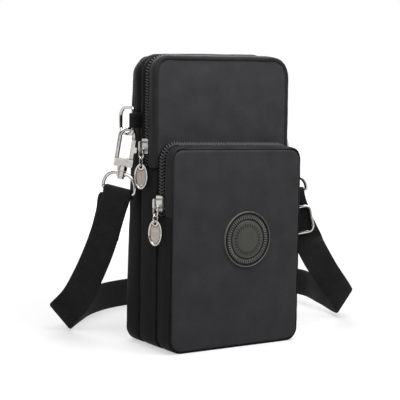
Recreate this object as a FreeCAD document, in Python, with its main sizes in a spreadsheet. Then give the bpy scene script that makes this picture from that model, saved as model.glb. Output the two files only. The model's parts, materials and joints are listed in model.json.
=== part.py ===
import FreeCAD, Part
import math
import os

import Sketcher

# Phone pouch with three zipped compartments, two ring tabs, and a webbing strap on two snap hooks.
# Front faces -Y, up is +Z, the origin is under the middle of the pouch on the surface it stands on.

Vector = FreeCAD.Vector
UP = Vector(0, 0, 1)

# Driving sizes, in millimetres and degrees.
SIZES = {
    # fabric body
    "pouchWidth": 105.0,
    "mainHeight": 200.0,
    "pocketHeight": 139.0,
    "pocketDepth": 18.0,
    "middleDepth": 23.0,
    "rearDepth": 21.0,
    "fabricWall": 1.6,
    "mainTopRadius": 18.0,
    "pocketTopRadius": 12.0,
    "bottomRadius": 11.0,
    # zips
    "zipWindow": 6.5,
    "coilWidth": 2.0,
    "coilThickness": 2.0,
    "coilProud": 0.7,
    "coilGroove": 1.4,
    "tapeInset": 0.4,
    "tapeThickness": 0.8,
    "pocketZipSetback": 13.7,
    "middleZipSetback": 15.0,
    "rearZipSetback": 10.0,
    # each mouth opens above a fold line, and its zip runs on down below that
    "pocketFoldBelow": 3.0,
    "middleFoldBelow": 6.0,
    "rearFoldBelow": 1.0,
    "pocketZipLeg": 34.0,
    "middleZipLeg": 54.0,
    "rearZipLeg": 21.0,
    "foldGap": 0.3,
    # zip sliders
    "sliderLength": 10.0,
    "sliderWidth": 8.0,
    "sliderPlate": 1.0,
    "sliderClearance": 0.35,
    "sliderPost": 0.8,
    "sliderPostLength": 3.0,
    "bridgeLength": 6.8,
    "bridgeReach": 4.6,
    "bridgeBar": 1.2,
    "bridgeWidth": 1.6,
    "pocketSliderPark": 9.0,
    "middleSliderPark": 14.0,
    "rearSliderPark": 7.0,
    # pulls
    "linkWire": 1.3,
    "linkWidth": 6.4,
    "linkLength": 7.0,
    "ringWire": 1.2,
    "ringDiameter": 7.0,
    "chainWire": 1.1,
    "chainWidth": 4.8,
    "chainLength": 6.6,
    "looseFit": 0.25,
    "tagLength": 17.0,
    "tagWidth": 10.0,
    "tagThickness": 1.6,
    "tagRim": 1.0,
    "tagRecess": 0.35,
    "tagHole": 2.4,
    "tagTurn": 30.0,
    # badge on the front pocket
    "badgeDiameter": 38.0,
    "badgeThickness": 1.6,
    "badgeRim": 2.2,
    "badgeRimRise": 0.7,
    "badgeSide": 6.5,
    "badgeHeight": 74.0,
    # strap rings and their tabs
    "leftBarHeight": 153.0,
    "rightBarHeight": 149.0,
    "strapRingWire": 2.4,
    "strapRingHeight": 18.0,
    "strapRingDepth": 13.0,
    "strapRingBow": 6.0,
    "strapRingCorner": 2.5,
    "ringHang": 5.5,
    "ringInHookGap": 0.5,
    "tabHeight": 10.0,
    "tabWebbing": 1.2,
    "leftTabReach": 6.8,
    "leftTabSetback": 0.0,
    "leftRingTurn": 100.0,
    "rightTabReach": 8.0,
    "rightTabSetback": -0.5,
    "rightRingTurn": 15.0,
    # snap hooks
    "hookWire": 3.0,
    "hookHalfWidth": 4.8,
    "hookTop": 24.5,
    "noseEnd": 18.0,
    "yokeThickness": 5.6,
    "yokeLow": -1.0,
    "yokeHigh": 4.5,
    "gateHeight": 2.5,
    "gateWidth": 2.6,
    "gateThickness": 2.2,
    "gateSlot": 2.8,
    "gateGap": 0.3,
    "thumbReach": 1.9,
    "thumbLow": 9.0,
    "thumbHigh": 13.0,
    "pinDiameter": 1.4,
    "pinClearance": 0.05,
    "barrelDiameter": 7.0,
    "barrelLength": 3.0,
    "stemDiameter": 2.6,
    "stemClearance": 0.3,
    "stemHeadDiameter": 4.8,
    "stemHead": 1.4,
    "bossDiameter": 6.4,
    "bossLength": 3.6,
    "leftHookTurn": -25.0,
    "rightHookTurn": 131.0,
    # strap and its loops
    "strapWidth": 22.0,
    "webbing": 1.4,
    "loopWire": 2.4,
    "loopHeight": 12.0,
    "loopBow": 9.0,
    "loopCorner": 1.7,
    "loopSideRoom": 0.5,
    "strapFit": 0.2,
    "leftLean": -10.0,
    "leftStrapTurn": -60.0,
    "leftDoubled": 8.0,
    "rightLean": 12.0,
    "rightStrapTurn": -39.0,
    "rightDoubled": 8.0,
    "rightStraight": 31.5,
    # strap adjuster
    "adjusterWire": 2.2,
    "adjusterHeight": 19.0,
    "adjusterCorner": 4.0,
    "adjusterBar": 1.9,
    "adjusterBarCorner": 1.3,
    "adjusterDrop": 21.0,
    "adjusterClearance": 0.35,
}

# Edges of the webbing where it lies free, upper or left edge first, chosen from the photograph.
LEFT_RUN = [
    (Vector(-74.5, 48.5, 66), Vector(-61, 32.6, 60)),
    (Vector(-80, 58, 44), Vector(-65, 42.5, 38.5)),
    (Vector(-83, 68, 30.5), Vector(-66, 58, 19)),
]
LEFT_FOLD = (Vector(-89, 76, 20.3), Vector(-72, 76.6, 0.6))
RIGHT_RUN = [
    (Vector(101, 2, 65.2), Vector(82.1, 4.5, 54.2)),
    (Vector(117.5, 3, 47.3), Vector(102.1, 13.4, 35.4)),
]
RIGHT_FOLD = (Vector(141, 10, 23.6), Vector(132.5, 18, 3.6))
# The band stands on its edge behind the pouch: the line of its lower edge on the floor.
FLOOR_LINE = [
    (-49, 104),
    (-30, 124),
    (-8, 139),
    (14, 147),
    (60, 156),
    (106, 152),
    (140, 132),
    (156, 99),
    (145, 56),
]
FOLD_ROOM = 1.0

doc = FreeCAD.newDocument("PhonePouch")
sheet = doc.addObject("Spreadsheet::Sheet", "Sizes")
for row, (alias, number) in enumerate(SIZES.items(), start=1):
    sheet.set(f"A{row}", alias)
    sheet.set(f"B{row}", str(number))
    sheet.setAlias(f"B{row}", alias)
doc.recompute()

finished = []


class Size:
    """A length together with the expression that works it out from the sheet."""

    def __init__(self, value, text):
        self.value = value
        self.text = text

    def __add__(self, other):
        other = as_size(other)
        return Size(self.value + other.value, f"({self.text} + {other.text})")

    def __sub__(self, other):
        other = as_size(other)
        return Size(self.value - other.value, f"({self.text} - {other.text})")

    def __mul__(self, factor):
        return Size(self.value * factor, f"({self.text} * {factor})")

    def __truediv__(self, divisor):
        return Size(self.value / divisor, f"({self.text} / {divisor})")

    def __neg__(self):
        return Size(-self.value, f"(0 - {self.text})")


def as_size(thing):
    return thing if isinstance(thing, Size) else Size(float(thing), str(float(thing)))


def size(alias):
    return Size(float(sheet.get(alias)), f"Sizes.{alias}")


def number(alias):
    return size(alias).value


def bind(thing, prop, length):
    """Sets a property from the sheet."""
    thing.setExpression(prop, as_size(length).text)


def place(thing, x=0, y=0, z=0):
    """Puts a piece at a point that the sheet gives."""
    point = [as_size(c) for c in (x, y, z)]
    thing.Placement = FreeCAD.Placement(Vector(*[c.value for c in point]), FreeCAD.Rotation())
    for axis, c in zip("xyz", point):
        thing.setExpression(f"Placement.Base.{axis}", c.text)


def new_body(label):
    body = doc.addObject("PartDesign::Body", label)
    body.Label = label
    finished.append(body)
    return body


def new_sketch(body, role, offset=None):
    """A sketch on one of the body's own origin planes, or a set distance off it."""
    sketch = body.newObject("Sketcher::SketchObject", "Sketch")
    support = next(f for f in body.Origin.OriginFeatures if f.Role == role)
    sketch.AttachmentSupport = [(support, "")]
    sketch.MapMode = "FlatFace"
    if offset is not None:
        bind(sketch, "AttachmentOffset.Base.z", offset)
    return sketch


def hold_point(sketch, geometry, end, point):
    for kind, c in zip(("DistanceX", "DistanceY"), point):
        index = sketch.addConstraint(Sketcher.Constraint(kind, -1, 1, geometry, end, c.value))
        sketch.setExpression(f"Constraints[{index}]", c.text)


def hold_radius(sketch, geometry, radius):
    index = sketch.addConstraint(Sketcher.Constraint("Radius", geometry, radius.value))
    sketch.setExpression(f"Constraints[{index}]", radius.text)


def step_sign(start, end):
    """The direction of a run along an axis of the sketch, as -1, 0 or 1 each way."""
    return [round((b.value - a.value) / max(abs(q.value - p.value) for p, q in zip(start, end)))
            for a, b in zip(start, end)]


def outline(sketch, corners, closed=True):
    """Runs along the sketch's axes, with a quarter round at each corner that has a radius."""
    points = [(as_size(c[0]), as_size(c[1])) for c in corners]
    radii = [as_size(c[2]) if len(c) > 2 else None for c in corners]
    count = len(points)
    entries, exits = [], []
    for i, point in enumerate(points):
        if radii[i] is None:
            entries.append(point)
            exits.append(point)
            continue
        came = step_sign(points[i - 1], point)
        goes = step_sign(point, points[(i + 1) % count])
        entries.append(tuple(c - radii[i] * d for c, d in zip(point, came)))
        exits.append(tuple(c + radii[i] * d for c, d in zip(point, goes)))
    pieces = []
    for i in range(count):
        if radii[i] is not None:
            pieces.append(add_round(sketch, entries[i], exits[i], points[i], radii[i]))
        if i + 1 == count and not closed:
            continue
        start, end = exits[i], entries[(i + 1) % count]
        if max(abs(b.value - a.value) for a, b in zip(start, end)) > 1e-6:
            ends = [Vector(p[0].value, p[1].value, 0) for p in (start, end)]
            pieces.append((sketch.addGeometry(Part.LineSegment(*ends), False), 1, 2, start))
    for i, (geometry, first, last, start) in enumerate(pieces):
        hold_point(sketch, geometry, first, start)
        if i + 1 < len(pieces) or closed:
            following = pieces[(i + 1) % len(pieces)]
            sketch.addConstraint(
                Sketcher.Constraint("Coincident", geometry, last, following[0], following[1]))
    if not closed:
        hold_point(sketch, pieces[-1][0], pieces[-1][2], points[-1])


def add_round(sketch, entry, leave, corner, radius):
    """A quarter circle from entry to leave, whichever way it turns."""
    a, b, c = (Vector(p[0].value, p[1].value, 0) for p in (entry, leave, corner))
    centre = a + b - c
    left_turn = (c - a).cross(b - c).z > 0
    first, last = (a, b) if left_turn else (b, a)
    angles = [math.atan2(p.y - centre.y, p.x - centre.x) for p in (first, last)]
    circle = Part.Circle(centre, UP, radius.value)
    arc = sketch.addGeometry(Part.ArcOfCircle(circle, angles[0], angles[1]), False)
    hold_radius(sketch, arc, radius)
    return (arc, 1, 2, entry) if left_turn else (arc, 2, 1, entry)


def circle(sketch, x, y, radius):
    x, y, radius = as_size(x), as_size(y), as_size(radius)
    centre = Vector(x.value, y.value, 0)
    geometry = sketch.addGeometry(Part.Circle(centre, UP, radius.value), False)
    hold_radius(sketch, geometry, radius)
    hold_point(sketch, geometry, 3, (x, y))


def rectangle(sketch, left, low, right, high, radius=None):
    corners = [(left, low), (right, low), (right, high), (left, high)]
    outline(sketch, [c if radius is None else (*c, radius) for c in corners])


def pad(body, sketch, length, reverse=False, both=False):
    feature = body.newObject("PartDesign::Pad", "Pad")
    feature.Profile = sketch
    feature.Reversed = reverse
    if both:
        feature.SideType = "Symmetric"
    bind(feature, "Length", length)
    doc.recompute()


def cut_through(body, sketch):
    before = body.Shape.Volume
    feature = body.newObject("PartDesign::Pocket", "Pocket")
    feature.Profile = sketch
    feature.Type = "ThroughAll"
    feature.SideType = "Symmetric"
    doc.recompute()
    if body.Shape.Volume >= before:
        raise RuntimeError(f"{body.Label}: the cut removes nothing")


def sweep(body, path, profile):
    feature = body.newObject("PartDesign::AdditivePipe", "Pipe")
    feature.Profile = profile
    feature.Spine = path
    doc.recompute()


def revolve(body, sketch):
    feature = body.newObject("PartDesign::Revolution", "Revolution")
    feature.Profile = sketch
    feature.ReferenceAxis = (sketch, ["V_Axis"])
    feature.Angle = 360
    doc.recompute()


# The fabric body: places along the depth, from the front pocket to the back panel.
half_width = size("pouchWidth") / 2
wall = size("fabricWall")
front_y = -(size("pocketDepth") + size("middleDepth") + size("rearDepth")) / 2
main_y = front_y + size("pocketDepth")
divider_y = main_y + size("middleDepth")
back_y = divider_y + size("rearDepth")


def arch(sketch, inset, thickness, low, height, radius):
    """An inverted U that follows the top of a compartment."""
    half, high, bend = half_width - inset, height - inset, radius - inset
    inner, inner_high, inner_bend = half - thickness, high - thickness, bend - thickness
    outline(sketch, [
        (-half, low), (-half, high, bend), (half, high, bend), (half, low),
        (inner, low), (inner, inner_high, inner_bend), (-inner, inner_high, inner_bend), (-inner, low),
    ])


def ring_band(sketch, height, radius):
    """The closed gusset band seen from the front."""
    bottom = size("bottomRadius")
    for inset in (as_size(0), wall):
        half = half_width - inset
        outline(sketch, [
            (-half, inset, bottom - inset), (half, inset, bottom - inset),
            (half, height - inset, radius - inset), (-half, height - inset, radius - inset),
        ])


def panel(label, y, high):
    """A flat panel with round bottom corners, from the floor to its fold line."""
    body = new_body(label)
    place(body, y=y)
    sketch = new_sketch(body, "XZ_Plane")
    bottom = size("bottomRadius")
    outline(sketch, [
        (-half_width, 0, bottom), (half_width, 0, bottom), (half_width, high), (-half_width, high)])
    pad(body, sketch, wall, reverse=True)


def gusset(label, near, far, height, radius, zip_y, zip_end, fold, side):
    """The band round a compartment, open along its zip and above the fold on the mouth's side."""
    body = new_body(label)
    place(body, y=far)
    sketch = new_sketch(body, "XZ_Plane")
    ring_band(sketch, height, radius)
    pad(body, sketch, far - near)
    window = new_sketch(body, "YZ_Plane")
    half = size("zipWindow") / 2
    fixed_edge, mouth_edge = zip_y - far - half * side, zip_y - far + half * side
    outside = (near - far - wall) if side < 0 else wall
    above = height + wall
    outline(window, [
        (fixed_edge, zip_end), (fixed_edge, above), (outside, above),
        (outside, fold), (mouth_edge, fold), (mouth_edge, zip_end),
    ])
    cut_through(body, window)


def mouth_flap(label, face, height, radius, zip_y, fold, side):
    """The part of a compartment that folds open: the panel's top and the strip up to the zip."""
    body = new_body(label)
    place(body, y=face)
    low = fold + size("foldGap")
    top = new_sketch(body, "XZ_Plane")
    outline(top, [
        (-half_width, low), (half_width, low), (half_width, height, radius), (-half_width, height, radius)])
    pad(body, top, wall, reverse=side < 0)
    strip = new_sketch(body, "XZ_Plane")
    arch(strip, as_size(0), wall, low, height, radius)
    reach = zip_y - size("zipWindow") / 2 - face if side < 0 else face - zip_y - size("zipWindow") / 2
    pad(body, strip, reach, reverse=side < 0)


def zip_half(label, zip_y, low, height, radius, side):
    """One tape with its row of coil, along the arch of the zip."""
    body = new_body(label)
    groove = size("coilGroove") / 2
    place(body, y=zip_y + groove * side)
    tape = new_sketch(body, "XZ_Plane")
    arch(tape, size("tapeInset"), size("tapeThickness"), low, height, radius)
    pad(body, tape, size("zipWindow") / 2 - groove, reverse=side > 0)
    coil = new_sketch(body, "XZ_Plane")
    arch(coil, -size("coilProud"), size("coilThickness"), low, height, radius)
    pad(body, coil, size("coilWidth"), reverse=side > 0)


def zip_legs(label, zip_y, low, high, side):
    """The two short lower ends of the mouth's tape, below the fold."""
    body = new_body(label)
    body.AllowCompound = True
    groove = size("coilGroove") / 2
    place(body, y=zip_y + groove * side)
    rows = [
        (size("tapeInset"), size("tapeThickness"), size("zipWindow") / 2 - groove),
        (-size("coilProud"), size("coilThickness"), size("coilWidth")),
    ]
    for inset, thickness, reach in rows:
        sketch = new_sketch(body, "XZ_Plane")
        outer = half_width - inset
        inner = outer - thickness
        rectangle(sketch, inner, low, outer, high)
        rectangle(sketch, -outer, low, -inner, high)
        pad(body, sketch, reach, reverse=side > 0)


def compartment(name, near, far, face, zip_y, side, height, radius):
    fold, end = folds[name], zip_ends[name]
    gusset(f"{name}_gusset", near, far, height, radius, zip_y, end, fold, side)
    mouth_flap(f"{name}_mouth_flap", face, height, radius, zip_y, fold, side)
    zip_half(f"{name}_zip_fixed_half", zip_y, end, height, radius, -side)
    zip_half(f"{name}_zip_mouth_half", zip_y, fold + size("foldGap"), height, radius, side)
    zip_legs(f"{name}_zip_mouth_legs", zip_y, end, fold, side)


pocket_zip_y = front_y + size("pocketZipSetback")
middle_zip_y = main_y + size("middleZipSetback")
rear_zip_y = divider_y + size("rearZipSetback")
corner_starts = {
    "pocket": size("pocketHeight") - size("pocketTopRadius"),
    "middle": size("mainHeight") - size("mainTopRadius"),
    "rear": size("mainHeight") - size("mainTopRadius"),
}
folds = {name: start - size(f"{name}FoldBelow") for name, start in corner_starts.items()}
zip_ends = {name: fold - size(f"{name}ZipLeg") for name, fold in folds.items()}
slider_heights = {name: end + size(f"{name}SliderPark") for name, end in zip_ends.items()}

panel("pocket_front_panel", front_y, folds["pocket"])
compartment(
    "pocket", front_y + wall, main_y, front_y, pocket_zip_y, -1,
    size("pocketHeight"), size("pocketTopRadius"))
panel("main_front_panel", main_y, folds["middle"])
compartment(
    "middle", main_y + wall, divider_y, main_y, middle_zip_y, -1,
    size("mainHeight"), size("mainTopRadius"))
compartment(
    "rear", divider_y + wall, back_y - wall, back_y, rear_zip_y, 1,
    size("mainHeight"), size("mainTopRadius"))
panel("back_panel", back_y - wall, folds["rear"])

divider = new_body("divider_panel")
place(divider, y=divider_y)
divider_sketch = new_sketch(divider, "XZ_Plane")
outline(divider_sketch, [
    (-half_width, 0, size("bottomRadius")), (half_width, 0, size("bottomRadius")),
    (half_width, size("mainHeight"), size("mainTopRadius")),
    (-half_width, size("mainHeight"), size("mainTopRadius")),
])
pad(divider, divider_sketch, wall, reverse=True)

# The round badge on the front pocket: a disc with a raised rim.
badge = new_body("badge")
place(badge, size("badgeSide"), front_y, size("badgeHeight"))
disc = new_sketch(badge, "XZ_Plane")
circle(disc, 0, 0, size("badgeDiameter") / 2)
pad(badge, disc, size("badgeThickness"))
rim = new_sketch(badge, "XZ_Plane")
circle(rim, 0, 0, size("badgeDiameter") / 2)
circle(rim, 0, 0, size("badgeDiameter") / 2 - size("badgeRim"))
pad(badge, rim, size("badgeThickness") + size("badgeRimRise"))


# Zip sliders and pulls are drawn on the left side, where outwards is -X, about the slider's middle.
plate_face = size("coilProud") + size("sliderClearance")
plate_top = plate_face + size("sliderPlate")
hole_top = plate_top + size("bridgeReach") - size("bridgeBar")
pivot_x = -(hole_top - size("linkWire") / 2 - size("looseFit"))
bridge_half = size("bridgeLength") / 2
pivot_z = -(bridge_half - size("bridgeBar")) + size("linkWire") / 2 + size("looseFit")
link_low = pivot_z - size("linkLength")


def set_beside(thing, side, zip_y, height, offset=Vector(), turn=0.0):
    """Moves a piece from the slider's own frame to its place on the left or right wall."""
    facing = FreeCAD.Rotation(UP, 0 if side < 0 else 180)
    base = Vector(half_width.value * side, zip_y.value, height.value)
    own = FreeCAD.Placement(offset, FreeCAD.Rotation(UP, turn))
    thing.Placement = FreeCAD.Placement(base, facing).multiply(own)


def zip_slider(label, side, zip_y, height):
    body = new_body(label)
    half, long = size("sliderWidth") / 2, size("sliderLength") / 2
    inside = wall + size("sliderClearance")
    corner = size("sliderPlate")
    outer = new_sketch(body, "YZ_Plane", -plate_top)
    rectangle(outer, -half, -long, half, long, corner)
    pad(body, outer, size("sliderPlate"))
    post = new_sketch(body, "YZ_Plane", -plate_face)
    thin = size("sliderPost") / 2
    rectangle(post, -thin, long - corner - size("sliderPostLength"), thin, long - corner)
    pad(body, post, plate_face + inside)
    inner = new_sketch(body, "YZ_Plane", inside)
    rectangle(inner, -half, -long, half, long, corner)
    pad(body, inner, size("sliderPlate"))
    flanges = new_sketch(body, "YZ_Plane", -plate_face)
    rail = size("coilGroove") / 2 + size("coilWidth") + size("sliderClearance")
    for low, high in ((-half, -rail), (rail, half)):
        rectangle(flanges, low, -(long - corner), high, long - corner)
    pad(body, flanges, plate_face - size("sliderClearance"))
    bridge = new_sketch(body, "XZ_Plane")
    bar = size("bridgeBar")
    root, far = -plate_face - size("sliderPlate") / 2, -(plate_top + size("bridgeReach"))
    hole = bridge_half - bar
    outline(bridge, [
        (root, -bridge_half), (far, -bridge_half, bar), (far, bridge_half, bar), (root, bridge_half),
        (root, hole), (far + bar, hole, bar / 2), (far + bar, -hole, bar / 2), (root, -hole),
    ])
    pad(body, bridge, size("bridgeWidth"), both=True)
    set_beside(body, side, zip_y, height)


def wire_loop(label, width, length, wire, top_corner):
    """A closed loop of wire in the YZ plane, hanging from the origin."""
    body = new_body(label)
    half = width / 2 - wire / 2
    path = new_sketch(body, "YZ_Plane")
    outline(path, [
        (-half, 0, top_corner), (-half, -length, half), (half, -length, half), (half, 0, top_corner)])
    profile = new_sketch(body, "XY_Plane", -length / 2)
    circle(profile, 0, -half, wire / 2)
    sweep(body, path, profile)
    return body


def oval_tag(label, hang):
    """An oval plate with a sunk face on both sides, hung by a hole from a wire below the origin."""
    long, wide, thick = (number(a) for a in ("tagLength", "tagWidth", "tagThickness"))
    hole, lip, sunk = (number(a) for a in ("tagHole", "tagRim", "tagRecess"))
    hole_z = hang - hole / 2
    middle = hole_z + hole / 2 + lip - long / 2

    def oval(shrink, depth, x):
        edge = Part.Ellipse(Vector(0, 0, 0), long / 2 - shrink, wide / 2 - shrink).toShape()
        solid = Part.Face(Part.Wire(edge)).extrude(Vector(0, 0, depth))
        solid.Placement = FreeCAD.Placement(
            Vector(x, 0, middle), FreeCAD.Rotation(Vector(0, 0, 1), UP, Vector(1, 0, 0), "ZXY"))
        return solid

    bore = Part.makeCylinder(hole / 2, thick * 2, Vector(-thick, 0, hole_z), Vector(1, 0, 0))
    boss = Part.makeCylinder(hole / 2 + lip, thick, Vector(-thick / 2, 0, hole_z), Vector(1, 0, 0))
    shape = oval(0, thick, -thick / 2)
    for x in (-thick / 2, thick / 2 - sunk):
        shape = shape.cut(oval(lip, sunk, x))
    shape = shape.fuse(boss).cut(bore).removeSplitter()
    tag = doc.addObject("Part::Feature", label)
    tag.Label = label
    tag.Shape = shape
    finished.append(tag)
    return tag


def pull(name, side, zip_y, height, joiner, wire, long, wide):
    """The link in the slider's bridge, the ring or chain link below it, and the tag."""
    fit = size("looseFit")
    link = wire_loop(f"{name}_pull_link", size("linkWidth"), size("linkLength"), size("linkWire"), fit * 4)
    set_beside(link, side, zip_y, height, Vector(pivot_x.value, 0, pivot_z.value))
    hang = link_low + size("linkWire") / 2 + wire / 2 + fit
    turn = number("tagTurn")
    spot = Vector(pivot_x.value, 0, hang.value)
    ring = wire_loop(f"{name}_{joiner}", wide, long, wire, wide / 2 - wire / 2)
    set_beside(ring, side, zip_y, height, spot, turn + 90)
    tag = oval_tag(f"{name}_pull_tag", (-long + wire / 2 + fit).value)
    set_beside(tag, side, zip_y, height, spot, turn)


round_ring = size("ringDiameter") - size("ringWire")
zip_sides = (("pocket", -1, pocket_zip_y), ("middle", -1, middle_zip_y), ("rear", 1, rear_zip_y))
for name, side, zip_y in zip_sides:
    height = slider_heights[name]
    zip_slider(f"{name}_slider", side, zip_y, height)
    if name == "middle":
        pull(name, side, zip_y, height, "pull_chain_link",
             size("chainWire"), size("chainLength"), size("chainWidth"))
    else:
        pull(name, side, zip_y, height, "pull_jump_ring",
             size("ringWire"), round_ring, size("ringDiameter"))


# The hangers: on each side a ring in its tab, a snap hook on the ring, and the strap's loop under it.
def flat(degrees):
    return Vector(math.cos(math.radians(degrees)), math.sin(math.radians(degrees)), 0)


def hanger_frames(side_name, side):
    """Where one side's ring, hook and loop sit: their points and axes."""
    seam = Vector(half_width.value * side, divider_y.value, number(f"{side_name}BarHeight"))
    reach, setback = number(f"{side_name}TabReach"), number(f"{side_name}TabSetback")
    bar = seam + Vector(reach * side, setback, 0)
    out = flat(number(f"{side_name}RingTurn"))
    hang = bar + out * number("ringHang") - UP * (number("strapRingHeight") / 2)
    across = flat(number(f"{side_name}StrapTurn"))
    lean = math.radians(number(f"{side_name}Lean"))
    down = across * math.sin(lean) - UP * math.cos(lean)
    width = across * math.cos(lean) + UP * math.sin(lean)
    hook_side = flat(number(f"{side_name}HookTurn"))
    hook_x = (hook_side - down * hook_side.dot(down)).normalize()
    hook_turn = FreeCAD.Rotation(hook_x, Vector(), -down, "ZXY")
    loop_turn = FreeCAD.Rotation(width, Vector(), -down, "ZXY")
    hook_base = hang + down * ring_in_hook.value
    loop_base = hook_base + down * loop_drop.value
    return {
        "seam": seam, "bar": bar, "down": down, "hang": hang,
        "ring": FreeCAD.Placement(bar, FreeCAD.Rotation(UP, number(f"{side_name}RingTurn"))),
        "hook": FreeCAD.Placement(hook_base, hook_turn),
        "loop": FreeCAD.Placement(loop_base, loop_turn),
    }


hook_r = size("hookWire") / 2
hook_s = size("hookHalfWidth")
ring_in_hook = size("hookTop") - hook_r - size("strapRingWire") / 2 - size("ringInHookGap")
barrel_low = size("yokeLow") - size("barrelLength")
boss_high = barrel_low - size("stemClearance")
boss_low = boss_high - size("bossLength")
loop_drop = -(boss_high + boss_low) / 2
head_high = boss_low - size("stemClearance")


def ring_tab(label, frame, side):
    """A short loop of webbing round the ring's bar, sewn flat to the side seam."""
    tall, cloth = size("tabHeight"), size("tabWebbing")
    bore_r = size("strapRingWire") / 2 + size("strapFit")
    to_seam = Vector(frame["seam"].x - frame["bar"].x, frame["seam"].y - frame["bar"].y, 0)
    turn = FreeCAD.Rotation(UP, math.degrees(math.atan2(to_seam.y, to_seam.x)))
    low = frame["bar"] - UP * (tall.value / 2)
    loop = doc.addObject("Part::Cylinder", "TabLoop")
    bind(loop, "Radius", bore_r + cloth)
    bind(loop, "Height", tall)
    tail = doc.addObject("Part::Box", "TabTail")
    bind(tail, "Length", size("leftTabReach" if side < 0 else "rightTabReach") * 2)
    bind(tail, "Width", cloth * 2)
    bind(tail, "Height", tall)
    bore = doc.addObject("Part::Cylinder", "TabBore")
    bind(bore, "Radius", bore_r)
    bind(bore, "Height", tall)
    pouch_side = doc.addObject("Part::Box", "TabSeat")
    for prop in ("Length", "Width", "Height"):
        bind(pouch_side, prop, size("pouchWidth"))
    for thing in (loop, bore):
        thing.Placement = FreeCAD.Placement(low, FreeCAD.Rotation())
    tail.Placement = FreeCAD.Placement(low + turn.multVec(Vector(0, -cloth.value, 0)), turn)
    wide = number("pouchWidth")
    corner_x = -half_width.value if side < 0 else half_width.value - wide
    pouch_side.Placement = FreeCAD.Placement(
        Vector(corner_x, divider_y.value - wide / 2, low.z - wide / 2), FreeCAD.Rotation())
    whole = doc.addObject("Part::Fuse", "TabWhole")
    whole.Base, whole.Tool = loop, tail
    bored = doc.addObject("Part::Cut", "TabBored")
    bored.Base, bored.Tool = whole, bore
    tab = doc.addObject("Part::Cut", label)
    tab.Label = label
    tab.Base, tab.Tool = bored, pouch_side
    finished.append(tab)


def strap_ring(label, frame):
    """A wire D: its straight bar on the origin, its bow towards +X."""
    body = new_body(label)
    half, deep = size("strapRingHeight") / 2, size("strapRingDepth")
    corner, bow = size("strapRingCorner"), size("strapRingBow")
    path = new_sketch(body, "XZ_Plane")
    outline(path, [(0, half, corner), (0, -half, corner), (deep, -half, bow), (deep, half, bow)])
    profile = new_sketch(body, "XY_Plane")
    circle(profile, 0, 0, size("strapRingWire") / 2)
    sweep(body, path, profile)
    body.Placement = frame["ring"]


def hook_body(label, frame):
    """The cast hook: a bent bar over a yoke that holds the gate, and the swivel's stem below."""
    body = new_body(label)
    path = new_sketch(body, "XZ_Plane")
    top = size("hookTop")
    outline(path, [(-hook_s, 0), (-hook_s, top, hook_s), (hook_s, top, hook_s), (hook_s, size("noseEnd"))],
            closed=False)
    profile = new_sketch(body, "XY_Plane")
    circle(profile, -hook_s, 0, hook_r)
    sweep(body, path, profile)
    yoke = new_sketch(body, "XZ_Plane")
    reach = hook_s + hook_r
    rectangle(yoke, -reach, size("yokeLow"), reach, size("yokeHigh"), hook_r / 2)
    pad(body, yoke, size("yokeThickness"), both=True)
    slot = new_sketch(body, "YZ_Plane", hook_s - size("gateWidth"))
    half = size("gateSlot") / 2
    slot_low = size("gateHeight") - size("gateWidth") / 2 - size("gateGap")
    rectangle(slot, -half, slot_low, half, size("noseEnd"))
    groove = body.newObject("PartDesign::Pocket", "GateSlot")
    groove.Profile = slot
    groove.Reversed = True
    bind(groove, "Length", size("gateWidth") * 2 + hook_r)
    doc.recompute()
    bore = new_sketch(body, "XZ_Plane")
    circle(bore, hook_s, size("gateHeight"), size("pinDiameter") / 2 + size("pinClearance"))
    cut_through(body, bore)
    stem = new_sketch(body, "XZ_Plane")
    barrel, stem_r, head = (size(a) / 2 for a in ("barrelDiameter", "stemDiameter", "stemHeadDiameter"))
    outline(stem, [
        (0, size("yokeLow") + hook_r / 2), (barrel, size("yokeLow") + hook_r / 2), (barrel, barrel_low),
        (stem_r, barrel_low), (stem_r, head_high), (head, head_high),
        (head, head_high - size("stemHead")), (0, head_high - size("stemHead")),
    ])
    revolve(body, stem)
    body.Placement = frame["hook"]


def hook_gate(label, frame):
    """The sprung gate: a bar from its pin up to the nose, with a thumb piece."""
    body = new_body(label)
    sketch = new_sketch(body, "XZ_Plane")
    half, foot = size("gateWidth") / 2, size("gateHeight")
    high = size("noseEnd") - size("gateGap")
    out = hook_s + half + size("thumbReach")
    outline(sketch, [
        (hook_s - half, foot - half, half * 0.8), (hook_s + half, foot - half, half * 0.8),
        (hook_s + half, size("thumbLow")), (out, size("thumbLow"), half),
        (out, size("thumbHigh"), half / 2), (hook_s + half, size("thumbHigh")),
        (hook_s + half, high), (hook_s - half, high),
    ])
    pad(body, sketch, size("gateThickness"), both=True)
    bore = new_sketch(body, "XZ_Plane")
    circle(bore, hook_s, foot, size("pinDiameter") / 2 + size("pinClearance"))
    cut_through(body, bore)
    body.Placement = frame["hook"]


def gate_pin(label, frame):
    pin = doc.addObject("Part::Cylinder", label)
    pin.Label = label
    bind(pin, "Radius", size("pinDiameter") / 2)
    bind(pin, "Height", size("yokeThickness"))
    own = FreeCAD.Placement(
        Vector(hook_s.value, number("yokeThickness") / 2, number("gateHeight")),
        FreeCAD.Rotation(Vector(1, 0, 0), 90))
    pin.Placement = frame["hook"].multiply(own)
    finished.append(pin)


loop_half = (size("strapWidth") + size("loopWire")) / 2 + size("loopSideRoom")


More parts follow.
